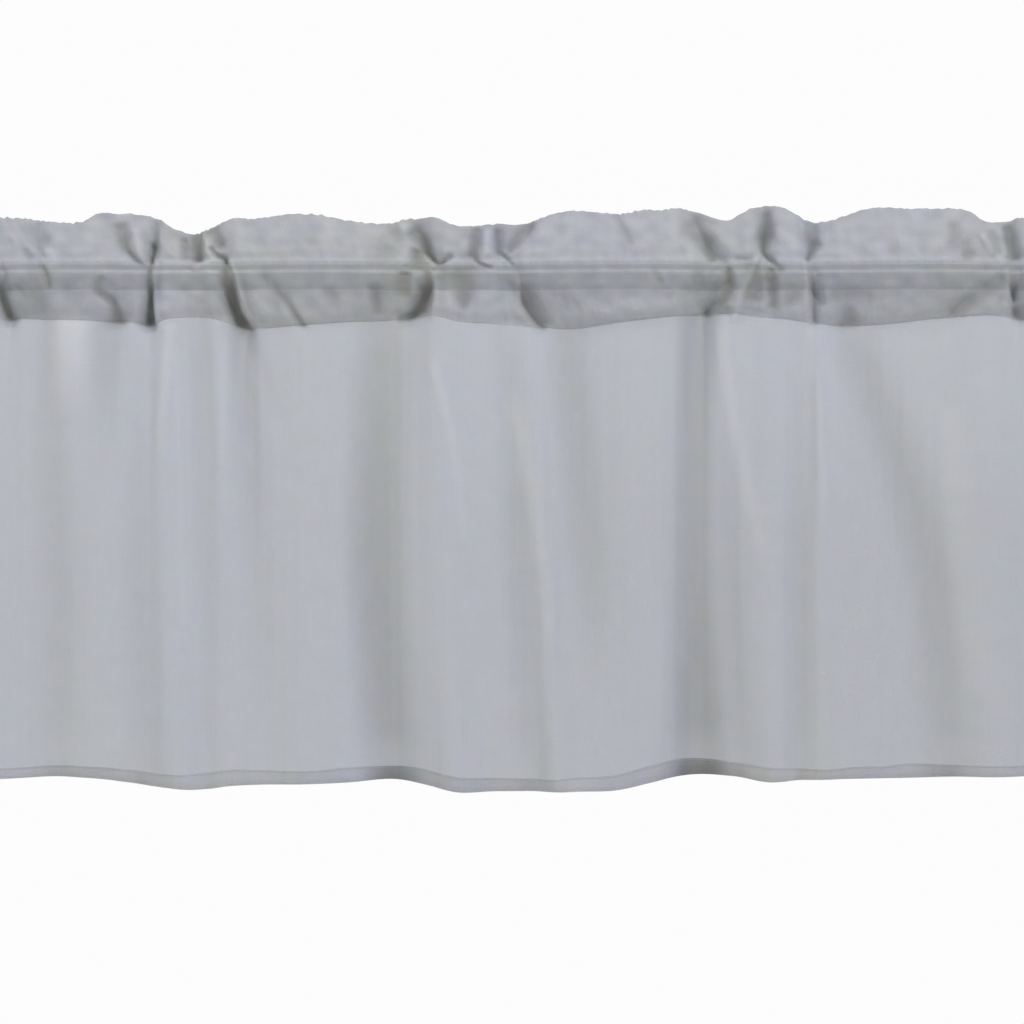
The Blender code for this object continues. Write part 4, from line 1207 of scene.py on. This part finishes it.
# Where the painted tint of the rod lies:
BAND_INSIDE, BAND_OUTSIDE = 0.009, 0.0125  # of the rod's band, up and down from its axis
# Where the drop's painted shade runs, in metres:
SHADE_TOP, SHADE_BOTTOM, SHADE_LEFT, SHADE_RIGHT = -0.04, -0.24, -0.35, 0.35
cool = (0.390, 0.416, 0.470, 1.0)
cold = (0.372, 0.394, 0.460, 1.0)
# painted shade: a darker, warmer grey for fold valleys and puffed spans
warm_painted_shade = (0.266, 0.280, 0.296, 1.0)
# painted light and painted highlight: a pale grey for layers lying together, the rod's lines, ridges
painted_pale = (0.630, 0.650, 0.695, 1.0)
# painted shade: a dark grey for creases and pinches
painted_crease_shade = (0.225, 0.229, 0.217, 1.0)
single, double = (0.992, 1.000, 1.014, 1.0), (1.008, 0.998, 0.994, 1.0)
# painted shade and the painted rod tint shift the colour this way
toward_green = (0.010, 0.012, -0.055)
patch_spread, patch_base = (0.14, 0.11, 0.17), (0.93, 0.945, 0.915)

tint = voile.mix((cloudy * 1.6 - 0.3).at_most(1.0).at_least(0.0), cold, cool)
# painted highlight: a pale line just below the rod, where the cloth rests on it
painted_rod_highlight = voile.ramp((up + ROD_HIGHLIGHT_DEPTH).absolute(), 0.0, HIGHLIGHT_WIDTH, 0.24, 0.0)
# painted light: paler where layers lie together, on the rod and on ridges
tint = voile.mix((painted_light_in + painted_rod_highlight).at_most(1.0), tint, painted_pale)
# painted shade: darker and warmer in puffed spans and, most, in fold valleys
tint = voile.mix((full_in * 0.14 + hollow_in * 0.8).at_most(1.0), tint, warm_painted_shade)
# painted shade: dark in creases and pinches
tint = voile.mix((crease_shade_in * 0.9).at_most(0.95), tint, painted_crease_shade)
patches = voile.noise(flat_map, 55.0, 3.0, output=1)
patches = voile.vector("MULTIPLY_ADD", patches, patch_spread, patch_base)
tint = voile.vector("MULTIPLY", tint, patches)

broad = voile.noise(voile.stretched(flat_map, (8.0, 2.5, 1.0)), 1.0, 1.0)
# painted tint of the rod seen through the cloth
painted_rod_tint = voile.ramp(up.absolute(), BAND_INSIDE, BAND_OUTSIDE, 0.45, 0.0, "LINEAR")
# random broad hue, plus painted shade turning greener away from the key lamp and in valleys
hue_and_painted_shade = turned_in * 0.6 + (broad - 0.5) * 4.0 + hollow_in * 0.4 + painted_rod_tint
neutral = voile.mix((painted_light_in * 5.0).at_most(1.0), single, double)
tint = voile.vector("MULTIPLY", tint, voile.vector("MULTIPLY_ADD", hue_and_painted_shade, toward_green, neutral))

# painted shade: darker downwards, most at the right; the yarn's own tone varies it too
lower = voile.ramp(up, SHADE_TOP, SHADE_BOTTOM, 0.0, 1.0)
to_right = voile.ramp(across, SHADE_LEFT, SHADE_RIGHT, 0.05, 0.14)
shade = ((yarn - 0.5) * 0.14 + 1.0) * (1.0 - lower * to_right)
shaded = voile.node("VectorMath", {"operation": "SCALE"}, {0: tint, 3: shade})
voile.set(Base_Color=shaded, Roughness=0.78 + (yarn - 0.5) * 0.3)
print("voile nodes with its colour:", len(voile.tree.nodes))

# %% Voile relief
RELIEF_HIGH = 0.0011
crinkle = voile.noise(voile.stretched(flat_map, (160.0, 110.0, 1.0)), 1.0, 4.0, 0.6)
crumpled = 0.10 + painted_light_in * 0.5 + full_in * 1.2 + crease_shade_in * 0.6
voile.set(Normal=voile.bump(weave * 0.015 + yarn * 0.03 + crinkle * crumpled, RELIEF_HIGH, 0.8))
cloth.data.materials.append(voile.material)
print("voile nodes in all:", len(voile.tree.nodes))

# %% [markdown]
# ## Thread and rod
# The sewing thread is the cloth's own grey, spun tighter, so it has a small twist. The rod is a plain
# steel tube with a satin finish: faint grain along its length, a slightly warm tone and a soft
# highlight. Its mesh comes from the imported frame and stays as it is; only its finish is made here.

# %% Thread and rod finishes
thread = Finish("sewing_thread", Roughness=0.7, Sheen_Weight=0.2)
twist = thread.waves(thread.place(), "DIAGONAL", 900.0, 1.0)
groove, strand = (0.42, 0.435, 0.47, 1.0), (0.50, 0.515, 0.55, 1.0)
thread.set(Base_Color=thread.mix(twist, groove, strand))
thread.set(Normal=thread.bump(twist, 0.0001))
thread_mesh.materials.append(thread.material)

satin = Finish("satin_steel", Metallic=1.0)
on_rod = satin.place()
grain = satin.noise(satin.stretched(on_rod, (6.0, 900.0, 900.0)), 1.0, 3.0)
wear = satin.noise(satin.stretched(on_rod, (9.0, 60.0, 60.0)), 1.0, 4.0)
dull, bright = (0.445, 0.447, 0.38, 1.0), (0.545, 0.547, 0.47, 1.0)
satin.set(Base_Color=satin.mix(wear, dull, bright))
satin.set(Roughness=0.12 + grain * 0.06 + wear * 0.05, Normal=satin.bump(grain, 0.00002))
rod = bpy.data.objects["curtain_rod"]
for slot in rod.material_slots:
    slot.material = satin.material
print("rod slots:", len(rod.material_slots))

# %% [markdown]
# ## What rides on what
# The whole valance is one body.

# %% Riding and replacing
for piece in (cloth, stitching):
    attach(piece, "root")
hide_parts("valance_cloth")
print("riding on root:", cloth.name, stitching.name)

# %% [markdown]
# ## Light, floor and camera
# The real piece was lit softly from the right against plain white. A big area lamp, the key, gives
# that light. A weak one fills from the left and another from below, a long strip overhead picks out
# the ruffles and lips, and a lamp at the back lets a little light come through the cloth. The white
# world does the rest. It is dimmer as a light than it looks behind the cloth, or it would wash the
# folds out. The camera looks level at the middle of what the picture shows. A long lens keeps the
# picture as flat as the real one.

# %% World and lamps
WORLD_AS_LIGHT, WORLD_AS_SEEN = 0.44, 0.98
scene = bpy.context.scene
scene.view_settings.view_transform = "Standard"
world = bpy.data.worlds.new("studio")
scene.world = world
world.use_nodes = True
sky = world.node_tree.nodes["Background"]
sky.inputs["Color"].default_value = (1.0, 1.0, 1.0, 1.0)
seen = world.node_tree.nodes.new("ShaderNodeLightPath")
level = world.node_tree.nodes.new("ShaderNodeMapRange")
level.inputs["To Min"].default_value = WORLD_AS_LIGHT
level.inputs["To Max"].default_value = WORLD_AS_SEEN
world.node_tree.links.new(seen.outputs["Is Camera Ray"], level.inputs["Value"])
world.node_tree.links.new(level.outputs["Result"], sky.inputs["Strength"])


def lamp(name, place, target, power, wide, high):
    """Area lamp of a width and a height at a place, turned to face a target, all in metres."""
    light = bpy.data.lights.new(name, "AREA")
    light.shape = "RECTANGLE"
    light.energy, light.size, light.size_y = power, wide, high
    thing = bpy.data.objects.new(name, light)
    thing.location = place
    thing.rotation_euler = (Vector(target) - Vector(place)).to_track_quat("-Z", "Y").to_euler()
    scene.collection.objects.link(thing)


MIDDLE = (0.0, 0.0, -0.18)
lamp("key", (2.3, -2.7, 1.5), MIDDLE, 45.0, 1.3, 1.3)
lamp("left", (-1.1, -1.3, 1.0), MIDDLE, 7.0, 0.9, 0.9)
lamp("low", (0.2, -2.2, -1.2), MIDDLE, 3.0, 1.4, 1.4)
lamp("strip", (0.0, -0.9, 2.4), MIDDLE, 18.0, 2.4, 0.25)
lamp("back", (0.6, 2.2, 1.0), MIDDLE, 20.0, 1.6, 1.6)
print("lamps:", sum(thing.type == "LIGHT" for thing in scene.objects))

# %% Floor
FLOOR_DROP, FLOOR_RADIUS = 1.4, 3.0
below = (0.0, 0.0, -FLOOR_DROP)
bpy.ops.mesh.primitive_circle_add(vertices=96, radius=FLOOR_RADIUS, fill_type="NGON", location=below)
floor = bpy.context.object
floor.name = "pale_floor"
ground = Finish("pale_floor", Roughness=0.8)
ground_grey, ground_pale = (0.80, 0.80, 0.80, 1.0), (0.84, 0.84, 0.84, 1.0)
spot = ground.noise(ground.place(), 3.0)
ground.set(Base_Color=ground.mix(spot, ground_grey, ground_pale))
floor.data.materials.append(ground.material)
print("floor faces:", len(floor.data.polygons))

# %% Camera
CAMERA_DISTANCE = 1.8
PICTURE_WIDTH = 0.8192
FRONT_PLANE = 0.010  # how far the front of the drop stands before the rod's axis
PICTURE_MIDDLE = -0.1876
camera = bpy.data.cameras.new("front_view")
camera.sensor_width = 36.0
camera.lens = camera.sensor_width * (CAMERA_DISTANCE - FRONT_PLANE) / PICTURE_WIDTH
view = bpy.data.objects.new("front_view", camera)
view.location = (0.0, -CAMERA_DISTANCE, PICTURE_MIDDLE)
view.rotation_euler = (np.pi / 2, 0.0, 0.0)
scene.collection.objects.link(view)
scene.camera = view
print("lens: %.1f mm" % camera.lens)

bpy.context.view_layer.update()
